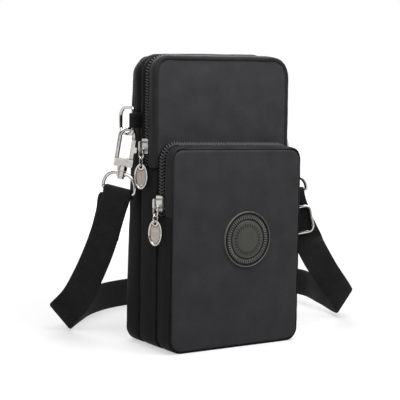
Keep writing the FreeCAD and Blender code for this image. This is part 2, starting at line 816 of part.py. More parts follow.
def swivel_loop(label, frame):
    """The strap's D loop, bow up, with a bored boss for the hook's stem."""
    body = new_body(label)
    path = new_sketch(body, "XZ_Plane")
    low, bow, corner = -size("loopHeight"), size("loopBow"), size("loopCorner")
    outline(path, [
        (-loop_half, 0, bow), (-loop_half, low, corner), (loop_half, low, corner), (loop_half, 0, bow)])
    profile = new_sketch(body, "YZ_Plane")
    circle(profile, 0, 0, size("loopWire") / 2)
    sweep(body, path, profile)
    boss = new_sketch(body, "XY_Plane")
    circle(boss, 0, 0, size("bossDiameter") / 2)
    pad(body, boss, size("bossLength"), both=True)
    bore = new_sketch(body, "XY_Plane")
    circle(bore, 0, 0, size("stemDiameter") / 2 + size("stemClearance"))
    cut_through(body, bore)
    body.Placement = frame["loop"]


def strap_end(label, frame, doubled):
    """The strap's sewn end: turned round the loop's bar, then two layers down to the stitching."""
    bore_r = size("loopWire") / 2 + size("strapFit")
    cloth, width = size("webbing"), size("strapWidth")
    turn = doc.addObject("Part::Cylinder", "StrapTurn")
    bind(turn, "Radius", bore_r + cloth)
    bind(turn, "Height", width)
    bore = doc.addObject("Part::Cylinder", "StrapBore")
    bind(bore, "Radius", bore_r)
    bind(bore, "Height", width)
    tail = doc.addObject("Part::Box", "StrapTail")
    bind(tail, "Length", width)
    bind(tail, "Width", cloth * 2)
    bind(tail, "Height", doubled)
    bar_z = -number("loopHeight")
    along = FreeCAD.Placement(
        Vector(-width.value / 2, 0, bar_z), FreeCAD.Rotation(Vector(0, 1, 0), 90))
    for thing in (turn, bore):
        thing.Placement = frame["loop"].multiply(along)
    tail.Placement = frame["loop"].multiply(FreeCAD.Placement(
        Vector(-width.value / 2, -cloth.value, bar_z - doubled.value), FreeCAD.Rotation()))
    whole = doc.addObject("Part::Fuse", "StrapEndWhole")
    whole.Base, whole.Tool = turn, tail
    end = doc.addObject("Part::Cut", label)
    end.Label = label
    end.Base, end.Tool = whole, bore
    finished.append(end)


frames = {name: hanger_frames(name, side) for name, side in (("left", -1), ("right", 1))}
for name, side in (("left", -1), ("right", 1)):
    frame = frames[name]
    ring_tab(f"{name}_ring_tab", frame, side)
    strap_ring(f"{name}_strap_ring", frame)
    hook_body(f"{name}_hook_body", frame)
    hook_gate(f"{name}_hook_gate", frame)
    gate_pin(f"{name}_gate_pin", frame)
    swivel_loop(f"{name}_swivel_loop", frame)
    strap_end(f"strap_{name}_end", frame, size(f"{name}Doubled"))


# The strap's free stretches: webbing drawn through pairs of edge points.
def strap_point(frame, drop, across, off=0.0):
    """A point of the strap below the loop's bar, in the loop's own frame."""
    return frame["loop"].multVec(Vector(across, off, -number("loopHeight") - drop))


def strap_pair(frame, drop, upper, off=0.0):
    """The two edges of the strap at a distance below the loop's bar, the outer one first."""
    half = number("strapWidth") / 2
    return (strap_point(frame, drop, half * upper, off), strap_point(frame, drop, -half * upper, off))


def pulled(pair, towards, room):
    """A pair of edge points moved a set distance towards another pair."""
    middle = (towards[0] + towards[1] - pair[0] - pair[1]).normalize()
    return tuple(p + middle * room for p in pair)


def ribbon(label, pairs):
    """A solid of the webbing's thickness through pairs of edge points."""
    half = number("webbing") / 2
    sections = []
    for i, (first, second) in enumerate(pairs):
        before, after = pairs[max(i - 1, 0)], pairs[min(i + 1, len(pairs) - 1)]
        along = after[0] + after[1] - before[0] - before[1]
        normal = along.cross(second - first).normalize() * half
        corners = [first - normal, second - normal, second + normal, first + normal]
        sections.append(Part.makePolygon(corners + corners[:1]))
    stretch = doc.addObject("Part::Feature", label)
    stretch.Label = label
    stretch.Shape = Part.makeLoft(sections, True, True)
    finished.append(stretch)


seam_gap = number("strapFit")
left_top = strap_pair(frames["left"], number("leftDoubled") + seam_gap, -1)
left_pairs = [left_top, *LEFT_RUN, pulled(LEFT_FOLD, LEFT_RUN[-1], FOLD_ROOM)]
ribbon("strap_left_run", left_pairs)

right_top = strap_pair(frames["right"], number("rightDoubled") + seam_gap, 1)
right_straight = strap_pair(frames["right"], number("rightStraight"), 1)
right_pairs = [right_top, right_straight, *RIGHT_RUN, pulled(RIGHT_FOLD, RIGHT_RUN[-1], FOLD_ROOM)]
ribbon("strap_right_run", right_pairs)

tall = UP * number("strapWidth")
floor_pairs = [(Vector(x, y, 0) + tall, Vector(x, y, 0)) for x, y in FLOOR_LINE]
floor_start = pulled(LEFT_FOLD, floor_pairs[0], FOLD_ROOM)
floor_end = pulled(RIGHT_FOLD, floor_pairs[-1], FOLD_ROOM)
ribbon("strap_floor_band", [floor_start, *floor_pairs, floor_end])

# The strap adjuster on the right: a wire frame over the strap and a bar under it.
adjuster_half = (size("strapWidth") + size("adjusterWire")) / 2 + size("loopSideRoom")
adjuster_off = size("webbing") / 2 + size("adjusterClearance") + size("adjusterWire") / 2
return_turn = size("adjusterBar") / 2 + size("strapFit") + size("webbing")
bar_off = size("webbing") / 2 + size("adjusterClearance") + return_turn

adjuster = new_body("strap_adjuster")
adjuster_path = new_sketch(adjuster, "XZ_Plane", adjuster_off)
frame_half = size("adjusterHeight") / 2
frame_corner = size("adjusterCorner")
rectangle(adjuster_path, -adjuster_half, -frame_half, adjuster_half, frame_half, frame_corner)
adjuster_profile = new_sketch(adjuster, "XY_Plane")
circle(adjuster_profile, -adjuster_half, -adjuster_off, size("adjusterWire") / 2)
sweep(adjuster, adjuster_path, adjuster_profile)
adjuster_bar_path = new_sketch(adjuster, "XY_Plane")
outline(adjuster_bar_path, [
    (-adjuster_half, -adjuster_off),
    (-adjuster_half, bar_off, size("adjusterBarCorner")),
    (adjuster_half, bar_off, size("adjusterBarCorner")),
    (adjuster_half, -adjuster_off),
], closed=False)
adjuster_bar_profile = new_sketch(adjuster, "XZ_Plane", adjuster_off)
circle(adjuster_bar_profile, -adjuster_half, 0, size("adjusterBar") / 2)
sweep(adjuster, adjuster_bar_path, adjuster_bar_profile)
adjuster_spot = FreeCAD.Placement(
    Vector(0, 0, -number("loopHeight") - number("adjusterDrop")), FreeCAD.Rotation())
adjuster.Placement = frames["right"]["loop"].multiply(adjuster_spot)


def strap_return():
    """The strap's free end: from the loop back down to the adjuster's bar, and turned round it."""
    cloth, width = number("webbing"), number("strapWidth")
    bore_r = (size("adjusterBar") / 2 + size("strapFit")).value
    start = number("rightDoubled") + seam_gap - number("adjusterDrop")
    behind = number("webbing") / 2 + number("adjusterClearance")
    along = Vector(1, 0, 0)
    centre = Vector(-width / 2, bar_off.value, 0)
    layer = Part.makeBox(width, cloth, -start, Vector(-width / 2, behind, 0))
    turn = Part.makeCylinder(bore_r + cloth, width, centre, along)
    bore = Part.makeCylinder(bore_r, width, centre, along)
    stretch = doc.addObject("Part::Feature", "strap_right_return")
    stretch.Label = "strap_right_return"
    stretch.Shape = layer.fuse(turn).cut(bore).removeSplitter()
    stretch.Placement = adjuster.Placement
    finished.append(stretch)


strap_return()
doc.recompute()

for thing in doc.Objects:
    if "Invalid" in thing.State or "Error" in thing.State:
        raise RuntimeError(f"{thing.Label} is {thing.State}")
for thing in finished:
    if thing.Shape.isNull() or not thing.Shape.isValid() or not thing.Shape.Solids:
        raise RuntimeError(f"{thing.Label} has no valid solid")

os.makedirs("parts", exist_ok=True)
for thing in finished:
    thing.Shape.exportStep(f"parts/{thing.Label}.step")
print(len(finished), "pieces written")
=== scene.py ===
import bpy
import json
import math
from mathutils import Matrix, Vector, noise


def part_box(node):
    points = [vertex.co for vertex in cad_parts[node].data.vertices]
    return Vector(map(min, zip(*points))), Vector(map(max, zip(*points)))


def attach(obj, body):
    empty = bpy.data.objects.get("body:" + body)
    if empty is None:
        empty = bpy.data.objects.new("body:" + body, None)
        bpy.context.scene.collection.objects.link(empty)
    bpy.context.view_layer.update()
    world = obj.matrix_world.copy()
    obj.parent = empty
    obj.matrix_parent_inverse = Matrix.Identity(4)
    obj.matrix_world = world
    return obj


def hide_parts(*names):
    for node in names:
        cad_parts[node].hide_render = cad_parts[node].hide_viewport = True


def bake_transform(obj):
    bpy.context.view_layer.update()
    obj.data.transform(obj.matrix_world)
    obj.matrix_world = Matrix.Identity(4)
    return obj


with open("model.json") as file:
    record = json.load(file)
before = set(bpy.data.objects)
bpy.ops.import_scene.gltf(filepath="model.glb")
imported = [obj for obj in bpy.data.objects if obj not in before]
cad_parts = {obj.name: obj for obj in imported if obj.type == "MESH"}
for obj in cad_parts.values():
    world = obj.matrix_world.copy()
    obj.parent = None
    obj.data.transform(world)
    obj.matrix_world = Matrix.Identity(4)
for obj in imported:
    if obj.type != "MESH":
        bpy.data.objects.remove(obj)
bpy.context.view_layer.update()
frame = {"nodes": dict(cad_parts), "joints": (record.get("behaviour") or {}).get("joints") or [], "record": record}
mm = 0.001
joints = {joint["name"]: joint for joint in frame["joints"]}
up = Vector((0, 0, 1))
print("frame loaded:", len(frame["nodes"]), "nodes")


# camera at the photograph's angle
cameraSetup = {
    "azimuth": -33.52, "elevation": 4.365, "roll": 0.94,  # degrees
    "distance": 726.8 * mm, "target": (-10.97 * mm, 0, 98.84 * mm),
    "focalPixels": 1049.2, "imagePixels": 400, "sensor": 36.0,
}


def addCamera(setup):
    turn, rise, roll = (math.radians(setup[k]) for k in ("azimuth", "elevation", "roll"))
    back = Vector((math.sin(turn) * math.cos(rise), -math.cos(turn) * math.cos(rise), math.sin(rise)))
    level = (-back).cross(up).normalized()
    tall = level.cross(-back)
    right = level * math.cos(roll) + tall * math.sin(roll)
    over = tall * math.cos(roll) - level * math.sin(roll)
    data = bpy.data.cameras.new("camera")
    data.sensor_width = setup["sensor"]
    data.lens = setup["focalPixels"] * setup["sensor"] / setup["imagePixels"]
    data.clip_start = 0.01
    camera = bpy.data.objects.new("camera", data)
    bpy.context.scene.collection.objects.link(camera)
    place = Matrix((right, over, back)).transposed().to_4x4()
    place.translation = Vector(setup["target"]) + back * setup["distance"]
    camera.matrix_world = place
    bpy.context.scene.camera = camera


addCamera(cameraSetup)


# material helpers
def linearColour(code):
    parts = [int(code[i:i + 2], 16) / 255 for i in (1, 3, 5)]
    return [c / 12.92 if c <= 0.04045 else ((c + 0.055) / 1.055) ** 2.4 for c in parts] + [1.0]


def newMaterial(name):
    material = bpy.data.materials.new(name)
    material.use_nodes = True
    material.node_tree.nodes.clear()
    return material


def addNode(material, kind, settings=None, inputs=None):
    node = material.node_tree.nodes.new(kind)
    for key, value in (settings or {}).items():
        setattr(node, key, value)
    for key, value in (inputs or {}).items():
        if isinstance(value, bpy.types.NodeSocket):
            material.node_tree.links.new(value, node.inputs[key])
        else:
            node.inputs[key].default_value = value
    return node


def bandsPerUnit(pitch):
    return 2 * math.pi / 20 / pitch  # a wave texture's scale for one band per pitch


# Coated nylon: tight plain weave under a matt coating, so it is dark, dull and softly mottled.
def coatedNylon(name, colour, worn, thread, sheen):
    material = newMaterial(name)
    uv = addNode(material, "ShaderNodeUVMap", {"uv_map": "cloth"})
    spot = addNode(material, "ShaderNodeTexCoord")
    warp = addNode(material, "ShaderNodeTexWave", {"bands_direction": "X"},
                   {"Vector": uv.outputs["UV"], "Scale": bandsPerUnit(thread), "Distortion": 0.6})
    weft = addNode(material, "ShaderNodeTexWave", {"bands_direction": "Y"},
                   {"Vector": uv.outputs["UV"], "Scale": bandsPerUnit(thread), "Distortion": 0.6})
    weave = addNode(material, "ShaderNodeMath", {"operation": "MULTIPLY"},
                    {0: warp.outputs["Fac"], 1: weft.outputs["Fac"]})
    cloud = addNode(material, "ShaderNodeTexNoise", None,
                    {"Vector": spot.outputs["Object"], "Scale": 1 / (14 * mm), "Detail": 4.0})
    speck = addNode(material, "ShaderNodeTexNoise", None,
                    {"Vector": spot.outputs["Object"], "Scale": 1 / (1.6 * mm), "Detail": 2.0})
    blend = addNode(material, "ShaderNodeMath", {"operation": "MULTIPLY_ADD"},
                    {0: speck.outputs["Fac"], 1: 0.35, 2: cloud.outputs["Fac"]})
    tint = addNode(material, "ShaderNodeValToRGB", None, {"Fac": blend.outputs["Value"]})
    tint.color_ramp.elements[0].position = 0.42
    tint.color_ramp.elements[0].color = linearColour(colour)
    tint.color_ramp.elements[1].position = 0.95
    tint.color_ramp.elements[1].color = linearColour(worn)
    rough = addNode(material, "ShaderNodeMapRange", None,
                    {"Value": cloud.outputs["Fac"], "To Min": 0.52, "To Max": 0.68})
    fine = addNode(material, "ShaderNodeBump", None,
                   {"Height": weave.outputs["Value"], "Strength": 0.35, "Distance": 0.12 * mm})
    soft = addNode(material, "ShaderNodeBump", None,
                   {"Height": cloud.outputs["Fac"], "Normal": fine.outputs["Normal"],
                    "Strength": 0.5, "Distance": 0.5 * mm})
    shader = addNode(material, "ShaderNodeBsdfPrincipled", None,
                     {"Base Color": tint.outputs["Color"], "Roughness": rough.outputs["Result"],
                      "Normal": soft.outputs["Normal"], "IOR": 1.5, "Specular IOR Level": sheen})
    addNode(material, "ShaderNodeOutputMaterial", None, {"Surface": shader.outputs["BSDF"]})
    return material


# Polyester webbing: ribs across the strap from its thick weft, with a faint sheen.
def polyesterWebbing(name, colour, worn, rib):
    material = newMaterial(name)
    uv = addNode(material, "ShaderNodeUVMap", {"uv_map": "cloth"})
    spot = addNode(material, "ShaderNodeTexCoord")
    ribs = addNode(material, "ShaderNodeTexWave", {"bands_direction": "Y"},
                   {"Vector": uv.outputs["UV"], "Scale": bandsPerUnit(rib), "Distortion": 0.8})
    yarns = addNode(material, "ShaderNodeTexWave", {"bands_direction": "X"},
                    {"Vector": uv.outputs["UV"], "Scale": bandsPerUnit(rib * 0.7), "Distortion": 0.4})
    weave = addNode(material, "ShaderNodeMath", {"operation": "MULTIPLY"},
                    {0: ribs.outputs["Fac"], 1: yarns.outputs["Fac"]})
    fuzz = addNode(material, "ShaderNodeTexNoise", None,
                   {"Vector": spot.outputs["Object"], "Scale": 1 / (6 * mm), "Detail": 4.0})
    blend = addNode(material, "ShaderNodeMath", {"operation": "MULTIPLY_ADD"},
                    {0: weave.outputs["Value"], 1: 0.5, 2: fuzz.outputs["Fac"]})
    tint = addNode(material, "ShaderNodeValToRGB", None, {"Fac": blend.outputs["Value"]})
    tint.color_ramp.elements[0].position = 0.35
    tint.color_ramp.elements[0].color = linearColour(colour)
    tint.color_ramp.elements[1].position = 1.0
    tint.color_ramp.elements[1].color = linearColour(worn)
    rise = addNode(material, "ShaderNodeBump", None,
                   {"Height": weave.outputs["Value"], "Strength": 0.7, "Distance": 0.25 * mm})
    shader = addNode(material, "ShaderNodeBsdfPrincipled", None,
                     {"Base Color": tint.outputs["Color"], "Normal": rise.outputs["Normal"],
                      "Roughness": 0.7, "IOR": 1.5, "Specular IOR Level": 0.15})
    addNode(material, "ShaderNodeOutputMaterial", None, {"Surface": shader.outputs["BSDF"]})
    return material


# Moulded pieces and metal share one recipe: a colour broken by fine grain, and its own gloss.
def grainedSurface(name, colour, worn, grain, metallic, roughness, depth, specular=0.5):
    material = newMaterial(name)
    spot = addNode(material, "ShaderNodeTexCoord")
    grit = addNode(material, "ShaderNodeTexNoise", None,
                   {"Vector": spot.outputs["Object"], "Scale": 1 / grain, "Detail": 5.0})
    tint = addNode(material, "ShaderNodeValToRGB", None, {"Fac": grit.outputs["Fac"]})
    tint.color_ramp.elements[0].position = 0.3
    tint.color_ramp.elements[0].color = linearColour(colour)
    tint.color_ramp.elements[1].position = 0.75
    tint.color_ramp.elements[1].color = linearColour(worn)
    gloss = addNode(material, "ShaderNodeMapRange", None,
                    {"Value": grit.outputs["Fac"], "To Min": roughness * 0.8, "To Max": roughness * 1.3})
    rise = addNode(material, "ShaderNodeBump", None,
                   {"Height": grit.outputs["Fac"], "Strength": 0.3, "Distance": depth})
    shader = addNode(material, "ShaderNodeBsdfPrincipled", None,
                     {"Base Color": tint.outputs["Color"], "Metallic": metallic,
                      "Specular IOR Level": specular, "Roughness": gloss.outputs["Result"],
                      "Normal": rise.outputs["Normal"]})
    addNode(material, "ShaderNodeOutputMaterial", None, {"Surface": shader.outputs["BSDF"]})
    return material


# thread and rib spacings are drawn coarser than the real 0.4 mm so that they show in a close view
panelNylon = coatedNylon("coated_nylon_charcoal", "#323133", "#3d3c3e", 0.9 * mm, 0.1)
# the gussets are the panels' charcoal nylon painted darker: painted shade on the sides that face away from the
# lamps
gussetNylonPaintedShade = coatedNylon("coated_nylon_charcoal_painted_shade", "#171717", "#212121", 0.9 * mm, 0.04)
# the mouth strips are the same charcoal nylon painted a mid tone: painted half shade where they turn from the
# front to the side
stripNylonPaintedHalfShade = coatedNylon("coated_nylon_charcoal_painted_half_shade", "#252526", "#323233", 0.9 * mm, 0.06)
liningNylon = coatedNylon("lining_taffeta_grey", "#3c3d40", "#4a4b4e", 0.7 * mm, 0.3)
strapWebbing = polyesterWebbing("polyester_webbing_black", "#121213", "#222223", 1.8 * mm)
# the tape is black, drawn darker than the webbing as painted shade in the gaps between the teeth
zipTapeTwill = polyesterWebbing("polyester_tape_black_painted_shade", "#0a0a0b", "#131314", 1.0 * mm)
# the black coil is painted mid grey, with its reflection nearly turned off: painted highlight on the teeth
coilNylonPaintedHighlight = grainedSurface("nylon_coil_black_painted_highlight", "#4a4a4c", "#646466", 1.2 * mm, 0.0, 0.5, 0.03 * mm,
                           specular=0.04)
sewingThread = grainedSurface("bonded_thread_black", "#1b1b1c", "#303031", 0.4 * mm, 0.0, 0.6, 0.05 * mm)
nickelPlate = grainedSurface("polished_nickel_plate", "#b4b1ac", "#d2cfca", 3 * mm, 1.0, 0.1, 0.16 * mm)
castNickel = grainedSurface("cast_nickel_plate", "#c2bfba", "#dad7d2", 1.5 * mm, 1.0, 0.35, 0.02 * mm)
satinTag = grainedSurface("satin_champagne_plate", "#9d948c", "#c6bbb2", 0.8 * mm, 1.0, 0.3, 0.02 * mm)
# dark champagne: painted shade along the foot of the tag's rim
tagRecessPaintedShade = grainedSurface("champagne_recess_painted_shade", "#4b4541", "#655d57", 0.8 * mm, 1.0, 0.45, 0.02 * mm)
badgeRubber = grainedSurface("moulded_rubber_grey", "#31332d", "#3e4039", 1.1 * mm, 0.0, 0.5, 0.06 * mm)
# pale rubber: painted highlight on the raised rim and the raised ticks
badgeRubberPaintedHighlight = grainedSurface("moulded_rubber_painted_highlight", "#565852", "#696b64", 1.1 * mm, 0.0, 0.4, 0.06 * mm)
# near-black rubber: painted shade in the badge's recesses, and the colour of the ring of dashes
badgeRubberPaintedShade = grainedSurface("moulded_rubber_dashes_and_painted_shade", "#0c0d0b", "#161714", 1.1 * mm, 0.0, 0.7, 0.06 * mm)
print("materials made")


# mesh helpers
def deselect():
    if bpy.context.object and bpy.context.object.mode != "OBJECT":
        bpy.ops.object.mode_set(mode="OBJECT")
    bpy.ops.object.select_all(action="DESELECT")


def pick(piece):
    deselect()
    piece.select_set(True)
    bpy.context.view_layer.objects.active = piece


def meshPiece(name, points, faces, material, cloth=None):
    mesh = bpy.data.meshes.new(name)
    mesh.from_pydata(points, [], faces)
    mesh.materials.append(material)
    if cloth:
        layer = mesh.uv_layers.new(name="cloth")
        for loop in mesh.loops:
            layer.data[loop.index].uv = cloth[loop.vertex_index]
    piece = bpy.data.objects.new(name, mesh)
    bpy.context.scene.collection.objects.link(piece)
    pick(piece)
    bpy.ops.object.mode_set(mode="EDIT")
    bpy.ops.mesh.select_all(action="SELECT")
    bpy.ops.mesh.normals_make_consistent(inside=False)
    bpy.ops.object.mode_set(mode="OBJECT")
    bpy.ops.object.shade_smooth()
    return piece


def applyModifier(piece, kind, **settings):
    pick(piece)
    modifier = piece.modifiers.new(kind.lower(), kind)
    for key, value in settings.items():
        setattr(modifier, key, value)
    bpy.ops.object.modifier_apply(modifier=modifier.name)


def joinPieces(pieces, name):
    deselect()
    for piece in pieces:
        piece.select_set(True)
    bpy.context.view_layer.objects.active = pieces[0]
    bpy.ops.object.join()
    joined = bpy.context.object
    joined.name = name
    return joined


def bevelledBar(sizes, bevel, segments):
    deselect()
    bpy.ops.mesh.primitive_cube_add(size=1)
    bar = bpy.context.object
    bar.scale = sizes
    bpy.ops.object.transform_apply(location=False, rotation=False, scale=True)
    bpy.ops.object.mode_set(mode="EDIT")
    bpy.ops.mesh.select_all(action="SELECT")
    bpy.ops.mesh.bevel(offset=bevel, segments=segments, affect="EDGES")
    bpy.ops.object.mode_set(mode="OBJECT")
    return bar


def easeStep(value):
    t = min(max(value, 0.0), 1.0)
    return t * t * (3 - 2 * t)


def easeOver(value, span):
    start, length = span
    return easeStep((value - start) / length)


def wander(point, size):
    return noise.noise(point / size)  # a smooth random value from -1 to 1, the same each run


# profiles in mm, (distance out, distance from the face), for the sides, the top and the underside
frontRoll = {  # out of the panel's seam, over the edge and onto the side
    "side": [(-1.0, 3.0), (-0.8, 1.9), (-0.5, 1.0), (-0.1, 0.55), (0.3, 0.75), (0.6, 1.4), (0.7, 2.4),
             (0.6, 3.6)],
    "top": [(-5.1, 2.8), (-4.9, 1.8), (-4.6, 1.0), (-4.2, 0.55), (-3.7, 0.7), (-3.3, 1.4), (-3.0, 2.5),
            (-2.8, 3.8)],
    "base": [(-2.2, 3.0), (-1.8, 1.9), (-1.3, 1.0), (-0.8, 0.6), (-0.3, 0.9), (-0.1, 1.6), (0.0, 2.4),
             (0.0, 3.6)],
}
backRoll = {  # the same behind, where the panel lies further in
    "side": [(-8.6, 3.6), (-8.2, 2.6), (-7.6, 1.8), (-6.7, 1.3), (-5.5, 1.5), (-4.1, 2.3), (-2.6, 3.5),
             (-1.3, 5.0)],
    "sideHigh": [(-9.6, 3.6), (-9.3, 2.8), (-8.9, 2.2), (-8.3, 1.9), (-7.5, 2.1), (-6.5, 2.8), (-5.3, 3.8),
                 (-4.2, 5.0)],
    "sideLow": [(-8.6, 3.6), (-8.1, 2.4), (-7.5, 1.3), (-6.4, 0.5), (-4.6, 0.2), (-2.6, 0.5), (-1.0, 1.5),
                (-0.1, 3.6)],
    "top": [(-7.6, 3.6), (-7.1, 2.4), (-6.5, 1.3), (-5.6, 0.6), (-4.4, 0.6), (-3.2, 1.2), (-2.0, 2.4),
             (-1.0, 4.4)],
    "base": [(-5.6, 3.6), (-5.1, 2.4), (-4.5, 1.3), (-3.8, 0.6), (-3.0, 0.6), (-1.8, 1.2), (-0.7, 2.4),
             (0.0, 4.4)],
}
hem = {  # the strip's folded edge beside the zip
    "side": [(0.25, -2.2), (0.1, -1.0), (-0.3, -0.3), (-0.9, 0.0), (-1.5, -0.35), (-1.8, -1.6)],
    "top": [(-2.3, -2.2), (-2.2, -1.0), (-2.4, -0.3), (-2.8, 0.0), (-3.3, -0.35), (-3.5, -1.6)],
    "base": [(0.0, -2.2), (0.0, -1.0), (-0.3, -0.3), (-0.9, 0.0), (-1.5, -0.35), (-1.8, -1.6)],
}
farHem = {  # the gusset's folded edge on the zip's other side
    "side": hem["side"],
    "top": [(-0.3, -2.2), (-0.2, -1.0), (-0.45, -0.3), (-0.9, 0.0), (-1.4, -0.35), (-1.6, -1.6)],
    "base": hem["base"],
}
rearHem = {  # drawn in on the sides, where the rear compartment is slack
    "side": hem["side"],
    "sideHigh": [(-3.0, -2.2), (-2.3, -1.0), (-2.2, -0.3), (-2.6, 0.0), (-3.0, -0.35), (-3.2, -1.6)],
    "top": hem["top"],
    "base": hem["base"],
}
tuck = {  # into the seam with the next compartment
    "side": [(0.2, -3.2), (0.0, -1.8), (-0.6, -0.8), (-1.5, -0.15), (-2.8, 0.2)],
    "top": [(0.2, -3.2), (0.0, -1.8), (-0.6, -0.8), (-1.5, -0.15), (-2.8, 0.2)],
    "base": [(0.0, -3.2), (-0.1, -1.8), (-0.6, -0.8), (-1.5, -0.15), (-2.8, 0.2)],
}


# the pouch's cloth; its width, height and faces are read from the frame below
pouch = {
    "topRadii": (13.5 * mm, 17.5 * mm), "pocketTopRadii": (12 * mm, 12 * mm), "bottomRadius": 9 * mm,
    "seamDepth": 1.4 * mm, "seamWidth": 1.3 * mm, "cornerIn": 4.0 * mm,
    "crown": 1.6 * mm,
    "hemGap": 3.3 * mm,  # from the zip's middle to the cloth's folded edge
    "clothThickness": 1.1 * mm,
    "stationStep": 3.0 * mm,
    "profileStep": 2.2, "profileBulge": 0.4,  # in millimetres, as the profiles are
    "dividerIn": 0.8 * mm,  # from the wall's front face to its cloth
    "bend": (7 * mm, 5 * mm),  # below and above the fold of a mouth
    "footLift": 6 * mm,  # the cloth lies flat below this, where the pouch stands
    "rippleEdge": 3 * mm, "ripples": ((1.0, 17 * mm), (0.5, 6 * mm)),  # share, size
    # where a change begins, and the distance that it takes
    "spreadBack": (4 * mm, 7 * mm), "spreadUp": (118 * mm, 17 * mm),
    "settleUp": (150 * mm, 50 * mm), "settleBack": (-6 * mm, 12 * mm),
    "slackUp": (15 * mm, 150 * mm), "drawnUp": (130 * mm, 50 * mm),
    "sink": (2.0 * mm, 3.0 * mm), "rise": (1.4 * mm, 0.9 * mm),  # settled to the left, in front and behind
}
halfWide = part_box("divider_panel")[1].x
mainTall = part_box("divider_panel")[1].z
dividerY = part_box("divider_panel")[0].y + pouch["dividerIn"]
zipMiddle = {}
for chamberName, fixedEnd, mouthEnd in (("pocket", 0, 1), ("middle", 0, 1), ("rear", 1, 0)):
    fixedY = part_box(chamberName + "_zip_fixed_half")[fixedEnd].y
    zipMiddle[chamberName] = (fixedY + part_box(chamberName + "_zip_mouth_half")[mouthEnd].y) / 2
# "seam" is how far the panel's seam lies in from the side, the top and the bottom,
# and "spread" how far the front edge stands out at the left and the right
chambers = {
    "pocket": {"face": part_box("pocket_front_panel")[0].y, "inner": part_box("main_front_panel")[0].y,
               "tall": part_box("pocket_gusset")[1].z, "radii": pouch["pocketTopRadii"],
               "panelNode": "pocket_front_panel", "seam": (0.3 * mm, 4.2 * mm, 1.2 * mm), "spread": (0, 0)},
    "middle": {"face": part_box("main_front_panel")[0].y, "inner": dividerY,
               "tall": mainTall, "radii": pouch["topRadii"], "panelNode": "main_front_panel",
               "seam": (0.3 * mm, 4.2 * mm, 1.2 * mm), "spread": (2.4 * mm, 0.6 * mm)},
    "rear": {"face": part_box("back_panel")[1].y, "inner": dividerY,
             "tall": mainTall, "radii": pouch["topRadii"], "panelNode": "back_panel",
             "seam": (7.4 * mm, 6.4 * mm, 4.4 * mm), "spread": (0, 0)},
}
for chamberName, chamber in chambers.items():
    chamber["fold"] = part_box(chamber["panelNode"])[1].z
    chamber["zipEnd"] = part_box(chamberName + "_zip_fixed_half")[0].z
    chamber["zip"] = zipMiddle[chamberName]
    chamber["away"] = 1 if chamber["inner"] > chamber["face"] else -1  # from the face into the pouch
    front = chamber["away"] > 0
    chamber["roll"], chamber["hem"] = (frontRoll, hem) if front else (backRoll, rearHem)
    chamber["zipSink"], chamber["zipTilt"] = (0.0, 0.0) if front else (0.4 * mm, 0.3)  # on the sides


# outlines seen from the front: points with the way out of the pouch at each
def lineStations(start, end, outwards, step):
    count = max(2, math.ceil((end - start).length / step) + 1)
    return [(start.lerp(end, i / (count - 1)), outwards) for i in range(count)]


def arcStations(centre, radius, firstDegrees, lastDegrees, count=9):
    stations = []
    for i in range(count):
        turn = math.radians(firstDegrees + (lastDegrees - firstDegrees) * i / (count - 1))
        outwards = Vector((math.cos(turn), 0, math.sin(turn)))
        stations.append((centre + outwards * radius, outwards))
    return stations


def joinStations(*runs):
    stations = []
    for run in runs:
        for station in run:
            if not stations or (stations[-1][0] - station[0]).length > 0.01 * mm:
                stations.append(station)
    return stations


def archOutline(chamber):
    side, step = Vector((1, 0, 0)), pouch["stationStep"]
    tall, low, (left, right) = chamber["tall"], chamber["zipEnd"], chamber["radii"]
    return joinStations(
        lineStations(Vector((halfWide, 0, low)), Vector((halfWide, 0, tall - right)), side, step),
        arcStations(Vector((halfWide - right, 0, tall - right)), right, 0, 90),
        lineStations(Vector((halfWide - right, 0, tall)), Vector((left - halfWide, 0, tall)), up, step),
        arcStations(Vector((left - halfWide, 0, tall - left)), left, 90, 180),
        lineStations(Vector((-halfWide, 0, tall - left)), Vector((-halfWide, 0, low)), -side, step))


def cradleOutline(high):
    radius, side, step = pouch["bottomRadius"], Vector((1, 0, 0)), pouch["stationStep"]
    inner = halfWide - radius
    return joinStations(
        lineStations(Vector((-halfWide, 0, high)), Vector((-halfWide, 0, radius)), -side, step),
        arcStations(Vector((-inner, 0, radius)), radius, 180, 270),
        lineStations(Vector((-inner, 0, 0)), Vector((inner, 0, 0)), -up, step),
        arcStations(Vector((inner, 0, radius)), radius, 270, 360),
        lineStations(Vector((halfWide, 0, radius)), Vector((halfWide, 0, high)), side, step))


def spreadOut(point, chamber):
    nearFront = 1 - easeOver(abs(point.y - chamber["face"]), pouch["spreadBack"])
    reach = chamber["spread"][point.x > 0] * nearFront * easeOver(point.z, pouch["spreadUp"])
    return point + Vector((reach * point.x / halfWide, 0, 0))


def settled(point):
    share = easeOver(point.z, pouch["settleUp"])
    right = 0.5 + point.x / (2 * halfWide)
    behind = easeOver(point.y, pouch["settleBack"])
    sink, rise = (front + (rear - front) * behind for front, rear in (pouch["sink"], pouch["rise"]))
    return point + up * share * (rise * right - sink * (1 - right))


